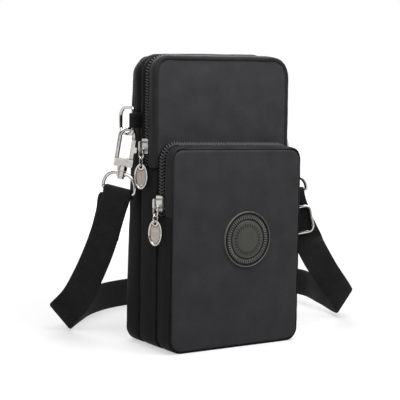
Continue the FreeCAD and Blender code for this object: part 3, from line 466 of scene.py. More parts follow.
# a band of cloth: a profile of (distance out, distance along y) carried round an outline
def clothBand(name, chamber, stations, profileAt, material, ripple=0.3 * mm):
    points, cloth, faces = [], [], []
    along, previous = 0.0, stations[0][0]
    for place, outwards in stations:
        profile = profileAt(outwards, place.z)
        across = [0.0]
        for (outA, yA), (outB, yB) in zip(profile, profile[1:]):
            across.append(across[-1] + math.hypot(outB - outA, yB - yA))
        along += (place - previous).length
        previous = place
        for (out, y), reach in zip(profile, across):
            point = place + outwards * out + Vector((0, y, 0))
            lift = easeStep(place.z / pouch["footLift"])
            edge = easeStep(min(reach, across[-1] - reach) / pouch["rippleEdge"])
            for share, size in pouch["ripples"]:
                point += outwards * ripple * share * lift * edge * wander(point, size)
            points.append(settled(spreadOut(point, chamber)))
            cloth.append((reach, along))
    columns = len(profile)
    for i in range(len(stations) - 1):
        for j in range(columns - 1):
            corner = i * columns + j
            faces.append((corner, corner + 1, corner + columns + 1, corner + columns))
    band = meshPiece(name, points, faces, material, cloth)
    centre = sum(points, Vector()) / len(points)
    sample = band.data.polygons[len(band.data.polygons) // 2]
    turnOutwards(band, (sample.center - Vector((0, centre.y, mainTall / 2))).normalized(), sample.normal)
    return band


def turnOutwards(piece, wanted, found):
    if wanted.dot(found) < 0:
        piece.data.flip_normals()


def giveThickness(piece, thickness):
    applyModifier(piece, "SOLIDIFY", thickness=thickness, offset=-1.0, use_even_offset=False)


# small stitches in rows, each a short rounded bar lying on the cloth
def stitchRow(name, starts, ends, lift, width):
    points, faces = [], []
    for start, end, rise in zip(starts, ends, lift):
        ahead = (end - start).normalized()
        side = ahead.cross(rise).normalized() * width / 2
        high = rise.normalized() * width * 0.55
        first = len(points)
        for t, tall, wide in ((0.0, 0.1, 0.5), (0.2, 0.9, 1.0), (0.8, 0.9, 1.0), (1.0, 0.1, 0.5)):
            middle = start.lerp(end, t)
            points += [middle - side * wide - high * 0.3, middle - side * wide * 0.6 + high * tall,
                       middle + side * wide * 0.6 + high * tall, middle + side * wide - high * 0.3]
        for ring in range(3):
            for k in range(4):
                n = (k + 1) % 4
                a = first + ring * 4
                faces.append((a + k, a + n, a + 4 + n, a + 4 + k))
        faces.append(tuple(first + k for k in (3, 2, 1, 0)))
        faces.append(tuple(first + 12 + k for k in range(4)))
    return meshPiece(name, points, faces, sewingThread)


# a row along one line of a cloth band, a stitch for each of its stations
stitch = {"start": 0.14, "end": 0.86, "width": 0.55 * mm}  # shares of a station's length


def hemStitches(name, band, stations, column):
    columns = len(band.data.vertices) // len(stations)
    line = [band.data.vertices[i * columns + column].co.copy() for i in range(len(stations))]
    starts = [a.lerp(b, stitch["start"]) for a, b in zip(line, line[1:])]
    ends = [a.lerp(b, stitch["end"]) for a, b in zip(line, line[1:])]
    return stitchRow(name, starts, ends, [outwards for place, outwards in stations], stitch["width"])


def mixed(first, second, share):
    return [tuple(a[k] + (b[k] - a[k]) * share for k in (0, 1)) for a, b in zip(first, second)]


def topShare(outwards):
    return max(outwards.z, 0) ** 4  # corners keep most of the sides' shape


def shapeAt(shape, outwards, height):
    top, base = topShare(outwards), max(-outwards.z, 0) ** 2
    side = shape["side"]
    if "sideLow" in shape:
        side = mixed(shape["sideLow"], side, easeOver(height, pouch["slackUp"]))
    if "sideHigh" in shape:
        side = mixed(side, shape["sideHigh"], easeOver(height, pouch["drawnUp"]))
    return mixed(mixed(side, shape["top"], top), shape["base"], base)


def moved(shape, distance):
    return {key: [(out, y + distance) for out, y in line] for key, line in shape.items()}


def turned(shape, distance):
    return {key: [(out, distance - y) for out, y in reversed(line)] for key, line in shape.items()}


def crownedSide(start, end, bulge, count):
    line = []
    for i in range(1, count):
        t = i / count
        out = start[0] + (end[0] - start[0]) * t + bulge * math.sin(math.pi * t)
        line.append((out, start[1] + (end[1] - start[1]) * t))
    return line


def sideProfile(chamber, first, last):
    away, face = chamber["away"], chamber["face"]
    count = max(1, round((last["side"][0][1] - first["side"][-1][1]) / pouch["profileStep"]))

    def profileAt(outwards, height):
        start, end = shapeAt(first, outwards, height), shapeAt(last, outwards, height)
        bulge = pouch["profileBulge"] * (1 - max(-outwards.z, 0))
        line = start + crownedSide(start[-1], end[0], bulge, count) + end
        return [(out * mm, face + away * y * mm) for out, y in line]

    return profileAt


def mouthStrip(chamberName, chamber):
    hemAt = (abs(chamber["zip"] - chamber["face"]) - pouch["hemGap"]) / mm
    profile = sideProfile(chamber, chamber["roll"], moved(chamber["hem"], hemAt))
    stations = archOutline(chamber)
    strip = clothBand(chamberName + "_mouth_strip", chamber, stations, profile, stripNylonPaintedHalfShade)
    stitches = hemStitches("hem_stitches", strip, stations, -len(hem["side"]))
    giveThickness(strip, pouch["clothThickness"])
    strip = joinPieces([strip, stitches], chamberName + "_mouth_strip")
    bendAtFold(strip)
    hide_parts(chamberName + "_mouth_flap")


def bendAtFold(piece):
    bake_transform(piece)


def gussetPieces(chamberName, chamber):
    deep = abs(chamber["inner"] - chamber["face"]) / mm
    hemAt = (abs(chamber["zip"] - chamber["face"]) + pouch["hemGap"]) / mm
    cradle = cradleOutline(chamber["zipEnd"])
    arch = archOutline(chamber)
    lower = clothBand(chamberName + "_gusset_lower", chamber, cradle,
                      sideProfile(chamber, chamber["roll"], moved(tuck, deep)), gussetNylonPaintedShade)
    start, end = turned(farHem, hemAt), moved(tuck, deep)
    if start["side"][-1][1] > end["side"][0][1]:  # a narrow strip: only its hem and the seam
        start = {key: line[:-2] for key, line in start.items()}
        end = {key: line[2:] for key, line in end.items()}
    upper = clothBand(chamberName + "_gusset_upper", chamber, arch,
                      sideProfile(chamber, start, end), gussetNylonPaintedShade)
    stitches = hemStitches("hem_stitches", upper, arch, len(start["side"]) - 1)
    for piece in (lower, upper):
        giveThickness(piece, pouch["clothThickness"])
    gusset = joinPieces([lower, upper, stitches], chamberName + "_gusset_cloth")
    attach(gusset, "pouch")
    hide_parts(chamberName + "_gusset")


# a panel: a grid drawn to the rounded outline, dipped into its seam and swelled by simulation
panelCloth = {
    "edgeLines": (0, 0.5 * mm, 1.2 * mm, 2.2 * mm), "step": 2.6 * mm,  # closer lines beside the seam
    "lip": 0.2 * mm, "under": 0.1 * mm,
    "pucker": 0.25 * mm, "puckerReach": 6 * mm, "puckerSize": 7 * mm,
    "slackReach": 10 * mm, "slack": ((0.45 * mm, 26 * mm), (0.18 * mm, 9 * mm)),  # height, size
    "fill": 0.45,
}


def roundCorner(x, z, halfX, low, high, topRadii, lowRadius):
    radius = topRadii[x > 0] if z > (low + high) / 2 else lowRadius
    sideways, heightwards = math.copysign(1, x), 1 if z > (low + high) / 2 else -1
    edgeZ = high if heightwards > 0 else low
    a = (abs(x) - (halfX - radius)) / radius
    b = (heightwards * (z - edgeZ) + radius) / radius
    if a <= 0 or b <= 0:
        return x, z
    a, b = a * math.sqrt(1 - b * b / 2), b * math.sqrt(1 - a * a / 2)
    return sideways * (halfX - radius + a * radius), edgeZ + heightwards * (b - 1) * radius


def edgeDistance(x, z, halfX, low, high, topRadii, lowRadius):
    radius = topRadii[x > 0] if z > (low + high) / 2 else lowRadius
    a = abs(x) - (halfX - radius)
    b = max(z - (high - radius), (low + radius) - z)
    if a > 0 and b > 0:
        return radius - math.hypot(a, b)
    return min(halfX - abs(x), high - z, z - low)


def gridLines(low, high):
    edge = panelCloth["edgeLines"]
    first, last = low + edge[-1], high - edge[-1]
    count = round((last - first) / panelCloth["step"])
    inner = [first + (last - first) * i / count for i in range(1, count)]
    return [low + e for e in edge] + inner + [high - e for e in reversed(edge)]


def panelGrid(name, chamber, material):
    face, away, tall = chamber["face"], chamber["away"], chamber["tall"]
    sideIn, topIn, lowIn = chamber["seam"]
    halfX, low, high = halfWide - sideIn, lowIn, tall - topIn
    cornerIn = max((sideIn + topIn) / 2, pouch["cornerIn"])
    topRadii = [radius - cornerIn for radius in chamber["radii"]]
    corners = (halfX, low, high, topRadii, pouch["bottomRadius"] - (sideIn + lowIn) / 2)
    columns, rows = gridLines(-halfX, halfX), gridLines(low, high)
    points, cloth, faces, depths = [], [], [], []
    for gridZ in rows:
        for gridX in columns:
            x, z = roundCorner(gridX, gridZ, *corners)
            depth = edgeDistance(x, z, *corners)
            seam = 1 - easeStep((depth + panelCloth["lip"]) / pouch["seamWidth"])
            dip = pouch["seamDepth"] * seam + panelCloth["under"]
            fade = math.exp(-depth / panelCloth["puckerReach"])
            pucker = panelCloth["pucker"] * fade * wander(Vector((x, face, z)), panelCloth["puckerSize"])
            point = Vector((x, face + away * (dip + pucker), z))
            points.append(settled(spreadOut(point, chamber)))
            cloth.append((x, z))
            depths.append(depth)
    row = len(columns)
    for i in range(len(rows) - 1):
        for j in range(row - 1):
            corner = i * row + j
            faces.append((corner, corner + 1, corner + row + 1, corner + row))
    panel = meshPiece(name, points, faces, material, cloth)
    turnOutwards(panel, Vector((0, -away, 0)), panel.data.polygons[len(faces) // 2].normal)
    return panel, depths


simulation = {
    "frames": 20, "pinned": (1 * mm, 3.0 * mm),
    "quickReach": 40 * mm, "quickShare": 0.9,
    "cloth": {"quality": 6, "mass": 0.15, "tension_stiffness": 12, "compression_stiffness": 12,
              "bending_stiffness": 2.5, "vertex_group_mass": "sewn", "use_pressure": True,
              "uniform_pressure_force": 4.0},
}


def swell(panel, depths):
    rest = [v.co.copy() for v in panel.data.vertices]
    pinned = panel.vertex_groups.new(name="sewn")
    for v, depth in zip(panel.data.vertices, depths):
        pinned.add([v.index], 1 - easeOver(depth, simulation["pinned"]), "REPLACE")
    pick(panel)
    modifier = panel.modifiers.new("cloth", "CLOTH")
    cloth = modifier.settings
    for key, value in simulation["cloth"].items():
        setattr(cloth, key, value)
    cloth.effector_weights.gravity = 0
    scene = bpy.context.scene
    for step in range(1, simulation["frames"] + 1):
        scene.frame_set(step)
    swollen = panel.evaluated_get(bpy.context.evaluated_depsgraph_get()).to_mesh()
    moves = [after.co - before for after, before in zip(swollen.vertices, rest)]
    farthest = max(move.length for move in moves)
    share = min(1.0, pouch["crown"] / farthest)
    panel.modifiers.remove(modifier)
    panel.vertex_groups.clear()
    for v, move in zip(panel.data.vertices, moves):
        v.co += move * share
    scene.frame_set(1)
    print("swelled", panel.name, "by", round(farthest * 1000, 1), "mm, kept", round(share, 2))


def frontPanel(chamberName, chamber):
    panel, depths = panelGrid(chamberName + "_panel_cloth", chamber, panelNylon)
    swell(panel, depths)
    for v, depth in zip(panel.data.vertices, depths):
        slack = easeStep(depth / panelCloth["slackReach"])
        v.co.y += sum(slack * high * wander(v.co, size) for high, size in panelCloth["slack"])
    giveThickness(panel, pouch["clothThickness"])
    applyModifier(panel, "SUBSURF", levels=1, render_levels=1)
    bendAtFold(panel)
    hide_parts(chamber["panelNode"])


# coil zips: a woven tape each side, and teeth modelled once and set along the arch
zipper = {"pitch": 2.1 * mm, "across": 3.0 * mm, "along": 0.95 * mm, "tall": 1.7 * mm, "middle": 1.4 * mm,
          "slant": 0.5, "bevel": 0.4 * mm, "teethIn": 0.1 * mm,
          "tape": [(-1.35, 4.8), (-1.0, 3.6), (-0.8, 2.4), (-0.8, 0.35)],  # mm out, mm from the middle
          "tapeThickness": 0.5 * mm,
          "topSink": 0.9 * mm, "topTilt": 0.28}  # over the top it lies lower and leans to the strip


def zipLift(chamber, outwards, towardsGusset):
    top = topShare(outwards)
    overTop = zipper["topTilt"] * towardsGusset - zipper["topSink"]
    onSide = chamber["zipTilt"] * towardsGusset - chamber["zipSink"]
    return overTop * top + onSide * (1 - top)


def toothShape():
    tooth = bevelledBar((zipper["tall"], zipper["across"], zipper["along"]), zipper["bevel"], 2)
    points = [v.co.copy() for v in tooth.data.vertices]
    faces = [tuple(p.vertices) for p in tooth.data.polygons]
    bpy.data.objects.remove(tooth)
    return points, faces


def evenStations(stations, pitch):
    placed, travelled, wanted = [], 0.0, pitch / 2
    for (a, outA), (b, outB) in zip(stations, stations[1:]):
        length = (b - a).length
        while wanted <= travelled + length:
            t = (wanted - travelled) / length
            placed.append((a.lerp(b, t), outA.lerp(outB, t).normalized(), (b - a).normalized()))
            wanted += pitch
        travelled += length
    return placed


toothPoints, toothFaces = toothShape()


def teethRow(name, chamber, stations, side):
    points, faces = [], []
    for place, outwards, along in evenStations(stations, zipper["pitch"]):
        first = len(points)
        for p in toothPoints:
            y = side * zipper["middle"] + p.y
            out = p.x + zipLift(chamber, outwards, y * chamber["away"]) - zipper["teethIn"]
            lean = along * (p.z - zipper["slant"] * abs(y))  # the coil's two rows meet in a chevron
            points.append(settled(place + outwards * out + lean + Vector((0, chamber["zip"] + y, 0))))
        faces += [tuple(i + first for i in face) for face in toothFaces]
    return meshPiece(name, points, faces, coilNylonPaintedHighlight)


def zipHalf(chamberName, chamber, side, fixed):
    stations = archOutline(chamber)

    def tapeAt(outwards, height):
        return [(out * mm + zipLift(chamber, outwards, side * chamber["away"] * y * mm),
                 chamber["zip"] + side * y * mm) for out, y in zipper["tape"]]

    tape = clothBand(chamberName + "_tape", chamber, stations, tapeAt, zipTapeTwill, 0.0)
    giveThickness(tape, zipper["tapeThickness"])
    teeth = teethRow(chamberName + "_teeth", chamber, stations, side)
    half = joinPieces([tape, teeth], chamberName + ("_zip_fixed_side" if fixed else "_zip_mouth_side"))
    if fixed:
        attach(half, "pouch")
        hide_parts(chamberName + "_zip_fixed_half")
    else:
        bendAtFold(half)
        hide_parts(chamberName + "_zip_mouth_half", chamberName + "_zip_mouth_legs")


for chamberName, chamber in chambers.items():
    frontPanel(chamberName, chamber)
    mouthStrip(chamberName, chamber)
    gussetPieces(chamberName, chamber)
    zipHalf(chamberName, chamber, chamber["away"], True)
    zipHalf(chamberName, chamber, -chamber["away"], False)
    print("sewed the", chamberName, "compartment")


# the divider between the two tall compartments, in lining cloth
divider = {"seamIn": 1.5 * mm, "waveReach": 12 * mm, "wave": 0.8 * mm, "waveSize": 30 * mm}


def dividerCloth():
    wall = {"face": dividerY, "away": 1, "tall": mainTall, "radii": pouch["topRadii"], "spread": (0, 0),
            "seam": (divider["seamIn"],) * 3}
    sheet, depths = panelGrid("divider_cloth", wall, liningNylon)
    for v, depth in zip(sheet.data.vertices, depths):
        lift = easeStep(depth / divider["waveReach"])
        v.co.y = dividerY + lift * divider["wave"] * wander(v.co, divider["waveSize"])
    giveThickness(sheet, pouch["clothThickness"])
    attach(sheet, "pouch")
    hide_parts("divider_panel")


dividerCloth()


# webbing: a ribbon with rounded edges through pairs of edge points
def smoothPairs(pairs, step):
    line = [(Vector(a), Vector(b)) for a, b in pairs]
    samples = []
    for i in range(len(line) - 1):
        before, start, end = line[max(i - 1, 0)], line[i], line[i + 1]
        after = line[min(i + 2, len(line) - 1)]
        gap = max((end[k] - start[k]).length for k in (0, 1))
        count = max(1, round(gap / step))
        for n in range(count):
            samples.append(tuple(curvePoint(before[k], start[k], end[k], after[k], n / count)
                                 for k in (0, 1)))
    samples.append(line[-1])
    return samples


def curvePoint(before, start, end, after, t):
    gap = (end - start).length
    inwards = (start - before).normalized() + (end - start).normalized()
    outwards = (end - start).normalized() + (after - end).normalized()
    pullA, pullB = inwards.normalized() * gap, outwards.normalized() * gap
    s = 1 - t
    return (start * (1 + 2 * t) * s * s + pullA * t * s * s
            + end * t * t * (3 - 2 * t) - pullB * t * t * s)


def ribbon(name, samples, thickness, material):
    half, soft = thickness / 2, 0.35 * thickness
    points, cloth, faces, along = [], [], [], 0.0
    middles = [(a + b) / 2 for a, b in samples]
    for i, (a, b) in enumerate(samples):
        ahead = middles[min(i + 1, len(samples) - 1)] - middles[max(i - 1, 0)]
        wide = (b - a).length
        across = (b - a) / wide
        normal = ahead.cross(across).normalized()
        if i:
            along += (middles[i] - middles[i - 1]).length
        shares = [0.02, 0.06, 0.25, 0.5, 0.75, 0.94, 0.98]
        ring = [(0.0, 0.0)]
        ring += [(s, half - (soft if s in (0.02, 0.98) else 0)) for s in shares]
        ring += [(1.0, 0.0)]
        ring += [(s, -half + (soft if s in (0.02, 0.98) else 0)) for s in reversed(shares)]
        for s, h in ring:
            points.append(a + across * wide * s + normal * h)
            cloth.append((wide * s, along))
        count = len(ring)
    for i in range(len(samples) - 1):
        for j in range(count):
            k = (j + 1) % count
            faces.append((i * count + j, i * count + k, (i + 1) * count + k, (i + 1) * count + j))
    faces.append(tuple(range(count)))
    last = (len(samples) - 1) * count
    faces.append(tuple(last + j for j in reversed(range(count))))
    return meshPiece(name, points, faces, material, cloth), along


strap = {
    "width": 22 * mm, "thickness": 1.4 * mm, "barRadius": 1.4 * mm,
    "loopDrop": 39.4 * mm,  # from the ring to the loop's bar, along the hook
    "step": 3.0 * mm,
    "foldRoom": 1.2 * mm,
    "pinchDrop": 4 * mm, "pinch": 0.75,  # the two layers draw together below the bar
    # distances behind and in front are in half thicknesses
    "left": {"turn": -60.0, "lean": -10.0, "tailBehind": 2.2, "frontAt": 0.3, "frontLift": 0.5,
             "bendTo": 12 * mm,
             "tail": [(0.78, 0.2 * mm), (0.4, 1.8 * mm), (0.1, 3.0 * mm)]},  # share of the way down, slide
    "right": {"turn": -39.0, "lean": 12.0, "doubled": 8 * mm, "doubledBehind": 1.1,
              "drift": [(12 * mm, 1.0 * mm), (22 * mm, 3.0 * mm), (28 * mm, 4.6 * mm), (33 * mm, 6.0 * mm)],
              "bendFrom": 0.2, "adjusterDrop": 21 * mm, "adjusterBack": 3.6 * mm, "adjusterBar": 1.15 * mm,
              "return": [(8.5 * mm, 1.6), (13 * mm, 2.6)],  # drop, distance behind
              "returnIn": 4 * mm, "returnOut": 7 * mm, "returnGap": 0.2 * mm},
    # edges of the free stretches, upper or outer edge first, in millimetres
    "leftRun": [((-74.5, 48.5, 66), (-61, 32.6, 60)), ((-80, 58, 44), (-65, 42.5, 38.5)),
                ((-83, 68, 30.5), (-66, 58, 19))],
    "leftFold": ((-89, 76, 20.3), (-72, 76.6, 0.6)),
    "rightRun": [((103.8, 2, 64.0), (82.1, 4.5, 54.2)), ((116.5, 3, 47.3), (102.1, 13.4, 35.4))],
    "rightFold": ((141, 10, 23.6), (132.5, 18, 3.6)),
    "floorLine": [(-49, 104, 0), (-30, 124, 0), (-8, 139, 0), (14, 147, 0), (60, 156, 0), (106, 152, 1),
                  (140, 132, 3), (156, 99, 5.5), (145, 56, 5)],
    "floorSplit": 4,  # the two lengths of strap meet here, behind the pouch
}


def metres(pair):
    return tuple(Vector(p) * mm for p in pair)


def loopFrame(side):
    setup = strap[side]
    swivel = joints[side + "_hook_swivel"]
    down = -Vector(swivel["axis"]).normalized()
    turn, lean = math.radians(setup["turn"]), math.radians(setup["lean"])
    level = Vector((math.cos(turn), math.sin(turn), 0))
    across = level * math.cos(lean) + up * math.sin(lean)
    bar = Vector(swivel["pos_m"]) + down * strap["loopDrop"]
    return bar, down, across, (-down).cross(across)


def hangingPair(side, drop, behind, flip):
    bar, down, across, back = loopFrame(side)
    middle = bar + down * drop + back * behind
    half = across * strap["width"] / 2 * flip
    return (middle + half, middle - half)


def driftingPair(side, drop, sideways):
    shift = loopFrame(side)[2] * sideways
    return tuple(point + shift for point in hangingPair(side, drop, 0, 1))


def barWrap(side, flip, radius):
    drop, pinch = strap["pinchDrop"], radius * strap["pinch"]
    wrap = [hangingPair(side, drop, pinch, flip)]
    for turn in range(0, 181, 30):
        t = math.radians(turn)
        wrap.append(hangingPair(side, -radius * math.sin(t), radius * math.cos(t), flip))
    wrap.append(hangingPair(side, drop, -pinch, flip))
    return wrap


def between(first, second, share, shift):
    return tuple(a.lerp(b, share) + shift for a, b in zip(first, second))


def creased(fold, before, after):
    room = strap["foldRoom"]
    back = (before[0] + before[1] - fold[0] - fold[1]).normalized() * room
    ahead = (after[0] + after[1] - fold[0] - fold[1]).normalized() * room
    mid = (back + ahead) * 0.3
    return [tuple(p + back for p in fold), tuple(p + mid for p in fold), tuple(p + ahead for p in fold)]


def floorPairs():
    tall = up * strap["width"]
    return [(Vector(point) * mm + tall, Vector(point) * mm) for point in strap["floorLine"]]


def leftStrap():
    layer, setup = strap["thickness"] / 2, strap["left"]
    run = [metres(p) for p in strap["leftRun"]]
    floor = floorPairs()[:strap["floorSplit"] + 1]
    bar, down, across, back = loopFrame("left")
    top = hangingPair("left", 0, 0, -1)
    behind = back * layer * setup["tailBehind"]  # the sewn tail lies behind, a little askew
    pairs = [between(top, run[0], share, behind - across * slide) for share, slide in setup["tail"]]
    pairs += barWrap("left", -1, strap["barRadius"] + layer)
    pairs += [between(top, run[0], setup["frontAt"], -back * layer * setup["frontLift"])]
    pairs += run + creased(metres(strap["leftFold"]), run[-1], floor[0]) + floor
    piece, length = ribbon("strap_left_webbing", smoothPairs(pairs, strap["step"]), strap["thickness"],
                           strapWebbing)
    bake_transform(piece)
    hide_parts("strap_left_end", "strap_left_run", "strap_floor_band")
    print("left strap length", round(length * 1000), "mm")


def rightStrap():
    layer, setup = strap["thickness"] / 2, strap["right"]
    run = [metres(p) for p in strap["rightRun"]]
    floor = list(reversed(floorPairs()[strap["floorSplit"]:]))
    hanging = [driftingPair("right", drop, sideways) for drop, sideways in setup["drift"]]
    pairs = [hangingPair("right", setup["doubled"], layer * setup["doubledBehind"], 1)]
    pairs += barWrap("right", 1, strap["barRadius"] + layer)
    pairs += hanging + run + creased(metres(strap["rightFold"]), run[-1], floor[0]) + floor
    piece, length = ribbon("strap_right_webbing", smoothPairs(pairs, strap["step"]), strap["thickness"],
                           strapWebbing)
    start, end = (run[0][0] + run[0][1]) / 2, (hanging[-1][0] + hanging[-1][1]) / 2
    end = end.lerp(start, setup["bendFrom"])  # clear of the adjuster
    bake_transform(piece)
    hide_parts("strap_right_end", "strap_right_run")
    print("right strap length", round(length * 1000), "mm")


def returnStrap():
    layer, setup = strap["thickness"] / 2, strap["right"]
    drop, back = setup["adjusterDrop"], setup["adjusterBack"]
    radius = setup["adjusterBar"] + layer
    pairs = [hangingPair("right", down, layer * behind, 1) for down, behind in setup["return"]]
    pairs.append(hangingPair("right", drop - setup["returnIn"], back - radius, 1))
    for turn in range(0, 241, 30):
        t = math.radians(turn)
        pairs.append(hangingPair("right", drop + radius * math.sin(t), back - radius * math.cos(t), 1))
    tailBack = back - radius + 2 * layer + setup["returnGap"]
    pairs.append(hangingPair("right", drop - setup["returnOut"], tailBack, 1))
    piece, length = ribbon("strap_return_webbing", smoothPairs(pairs, strap["step"] / 2), strap["thickness"],
                           strapWebbing)
    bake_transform(piece)
    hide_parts("strap_right_return")


leftStrap()
rightStrap()
returnStrap()
print("strap laid")


# ring tabs: webbing folded round each ring's bar and sewn into the side seam
tabs = {"tall": 10 * mm, "thickness": 1.2 * mm, "barRadius": 1.4 * mm, "seamDepth": 1.5 * mm,
        "step": 1.2 * mm,
        "sewnAt": (0.7, 1.15), "bendAt": (0.9, 0.85)}  # shares of the reach, layer and radius


def ringTab(side, sign):
    bar = Vector(joints[side + "_ring_swing"]["pos_m"])
    seam = Vector((sign * (halfWide - tabs["seamDepth"]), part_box("divider_panel")[0].y, bar.z))
    ahead = (seam - bar).normalized()
    sideways = up.cross(ahead)
    layer = tabs["thickness"] / 2
    radius = tabs["barRadius"] + layer
    reach = (seam - bar).length
    (sewnX, sewnY), (bendX, bendY) = tabs["sewnAt"], tabs["bendAt"]
    flat = [(reach, layer), (reach * sewnX, layer * sewnY), (radius * bendX, radius * bendY)]
    for turn in range(60, 301, 30):
        t = math.radians(turn)
        flat.append((radius * math.cos(t), radius * math.sin(t)))
    flat += [(radius * bendX, -radius * bendY), (reach * sewnX, -layer * sewnY), (reach, -layer)]
    half = up * tabs["tall"] / 2
    pairs = [(bar + ahead * a + sideways * b + half, bar + ahead * a + sideways * b - half) for a, b in flat]
    tab, length = ribbon(side + "_tab_webbing", smoothPairs(pairs, tabs["step"]), tabs["thickness"],
                         strapWebbing)
    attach(tab, "pouch")
    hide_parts(side + "_ring_tab")


ringTab("left", -1)
ringTab("right", 1)


# round badge: a moulded disc with a rim, grooves, a ring of ticks and a ring of dashes; the raised rim and ticks
# are painted pale as painted highlight, the recesses near-black as painted shade
badge = {
    "sides": 96, "rimWide": 0.8 * mm, "shadeDepth": 0.45 * mm, "sunk": 1.2 * mm, "bevel": 0.15 * mm,
    "steps": [  # mm in from the edge and back from the front
        (0.0, 0.9), (0.1, 0.3), (0.3, 0.0), (0.6, 0.05), (0.8, 0.4), (0.9, 1.3), (2.0, 1.3), (2.1, 0.6),
        (2.3, 0.5), (5.2, 0.5), (5.4, 0.6), (5.5, 1.0), (6.0, 1.0), (6.1, 0.5), (6.4, 0.3), (14.0, 0.25)],
    # bars of each ring: in from the edge, back from the front, count, sizes
    "ticks": (3.8 * mm, 0.4 * mm, 60, (0.75 * mm, 0.7 * mm, 2.3 * mm)),
    "dashes": (9.4 * mm, 0.3 * mm, 30, (1.0 * mm, 0.4 * mm, 2.4 * mm)),
}


def roundBadge():
    low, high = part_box("badge")
    centre, radius, front = (low + high) / 2, (high.x - low.x) / 2, low.y
    rings = [(radius, high.y + badge["sunk"])]
    rings += [(radius - inwards * mm, front + depth * mm) for inwards, depth in badge["steps"]]
    deselect()
    bpy.ops.mesh.primitive_circle_add(vertices=badge["sides"], radius=rings[0][0], fill_type="NGON",
                                      location=(centre.x, rings[0][1], centre.z),
                                      rotation=(math.pi / 2, 0, 0))
    disc = bpy.context.object
    disc.name = "badge_disc"
    bpy.ops.object.transform_apply(location=True, rotation=True, scale=True)
    bpy.ops.object.mode_set(mode="EDIT")
    bpy.ops.mesh.select_all(action="SELECT")
    for (widthA, depthA), (widthB, depthB) in zip(rings, rings[1:]):
        bpy.ops.mesh.extrude_region_move(TRANSFORM_OT_translate={"value": (0, depthB - depthA, 0)})
        bpy.ops.transform.resize(value=(widthB / widthA, 1, widthB / widthA),
                                 center_override=(centre.x, depthB, centre.z))
    bpy.ops.mesh.select_all(action="SELECT")
    bpy.ops.mesh.normals_make_consistent(inside=False)
    bpy.ops.object.mode_set(mode="OBJECT")
    bpy.ops.object.shade_smooth_by_angle(angle=math.radians(40))
    for material in (badgeRubber, badgeRubberPaintedHighlight, badgeRubberPaintedShade):
        disc.data.materials.append(material)
    # painted highlight on the rim, painted shade on every face set deeper than shadeDepth
    for polygon in disc.data.polygons:
        inwards = radius - math.hypot(polygon.center.x - centre.x, polygon.center.z - centre.z)
        if inwards < badge["rimWide"]:
            polygon.material_index = 1
        elif polygon.center.y > front + badge["shadeDepth"]:
            polygon.material_index = 2
    parts = [disc]
    for key, material in (("ticks", badgeRubberPaintedHighlight), ("dashes", badgeRubberPaintedShade)):
        inwards, depth, count, sizes = badge[key]
        parts.append(ringOfBars(centre, radius - inwards, front + depth, count, sizes, material))
    disc = joinPieces(parts, "badge_disc")
    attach(disc, "pouch")
    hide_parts("badge")


def ringOfBars(centre, reach, depth, count, sizes, material):
    tick = bevelledBar(sizes, badge["bevel"], 1)
    tick.data.materials.append(material)
    copies = []
    for i in range(count):
        turn = Matrix.Rotation(2 * math.pi * i / count, 4, "Y")
        place = Matrix.Translation((centre.x, depth, centre.z)) @ turn @ Matrix.Translation((0, 0, reach))
        copy = bpy.data.objects.new("tick", tick.data.copy())
        copy.data.transform(place)
        bpy.context.scene.collection.objects.link(copy)
        copies.append(copy)
    bpy.data.objects.remove(tick)
    return joinPieces(copies, "badge_ticks")


roundBadge()
print("badge moulded")


# finishes for the metal pieces that come from the frame
def finishNode(node, material):
    slots = frame["nodes"][node].data.materials
    slots.clear()
    slots.append(material)


# a stamped tag: the frame's oval plate, its recess given a dark line inside the rim as painted shade where the rim
# steps down
tagLine = {"wide": 0.55 * mm, "rimDeep": 0.15 * mm, "weld": 0.005 * mm, "level": 0.99}


def stampedTag(node):
    plate = bpy.data.objects.new(node + "_plate", frame["nodes"][node].data.copy())
    bpy.context.scene.collection.objects.link(plate)
    pick(plate)
    bpy.ops.object.mode_set(mode="EDIT")
    bpy.ops.mesh.select_all(action="SELECT")
    bpy.ops.mesh.remove_doubles(threshold=tagLine["weld"])
    bpy.ops.mesh.select_all(action="DESELECT")
    bpy.ops.object.mode_set(mode="OBJECT")
    plate.data.materials.clear()
    for material in (nickelPlate, satinTag, tagRecessPaintedShade):
        plate.data.materials.append(material)
    faces = plate.data.polygons
    facing = max(faces, key=lambda face: face.area).normal.copy()
    flat = [face for face in faces if abs(face.normal.dot(facing)) > tagLine["level"]]
    levels = [face.center.dot(facing) for face in flat]
    middle, reach = (max(levels) + min(levels)) / 2, (max(levels) - min(levels)) / 2
    for face, level in zip(flat, levels):
        if abs(level - middle) < reach - tagLine["rimDeep"]:
            face.select = True
            face.material_index = 2
    # the inset ring keeps the dark material: a painted shade line inside the rim
    bpy.ops.object.mode_set(mode="EDIT")
    bpy.ops.mesh.inset(thickness=tagLine["wide"], depth=0, use_boundary=True)
    bpy.ops.object.mode_set(mode="OBJECT")
    for face in plate.data.polygons:
        if face.select:
            face.material_index = 1
    bpy.ops.object.shade_smooth_by_angle(angle=math.radians(30))
    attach(plate, bodyOf[node])
    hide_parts(node)


bodyOf = {}
for body, members in frame["record"]["behaviour"]["bodies"].items():
    bodyOf.update({member: body for member in members})
for node in [name for name in frame["nodes"] if name.endswith("_pull_tag")]:
    stampedTag(node)

for node in frame["nodes"]:
    if node.endswith("_slider"):
        finishNode(node, castNickel)
    elif not frame["nodes"][node].hide_render:
        finishNode(node, nickelPlate)


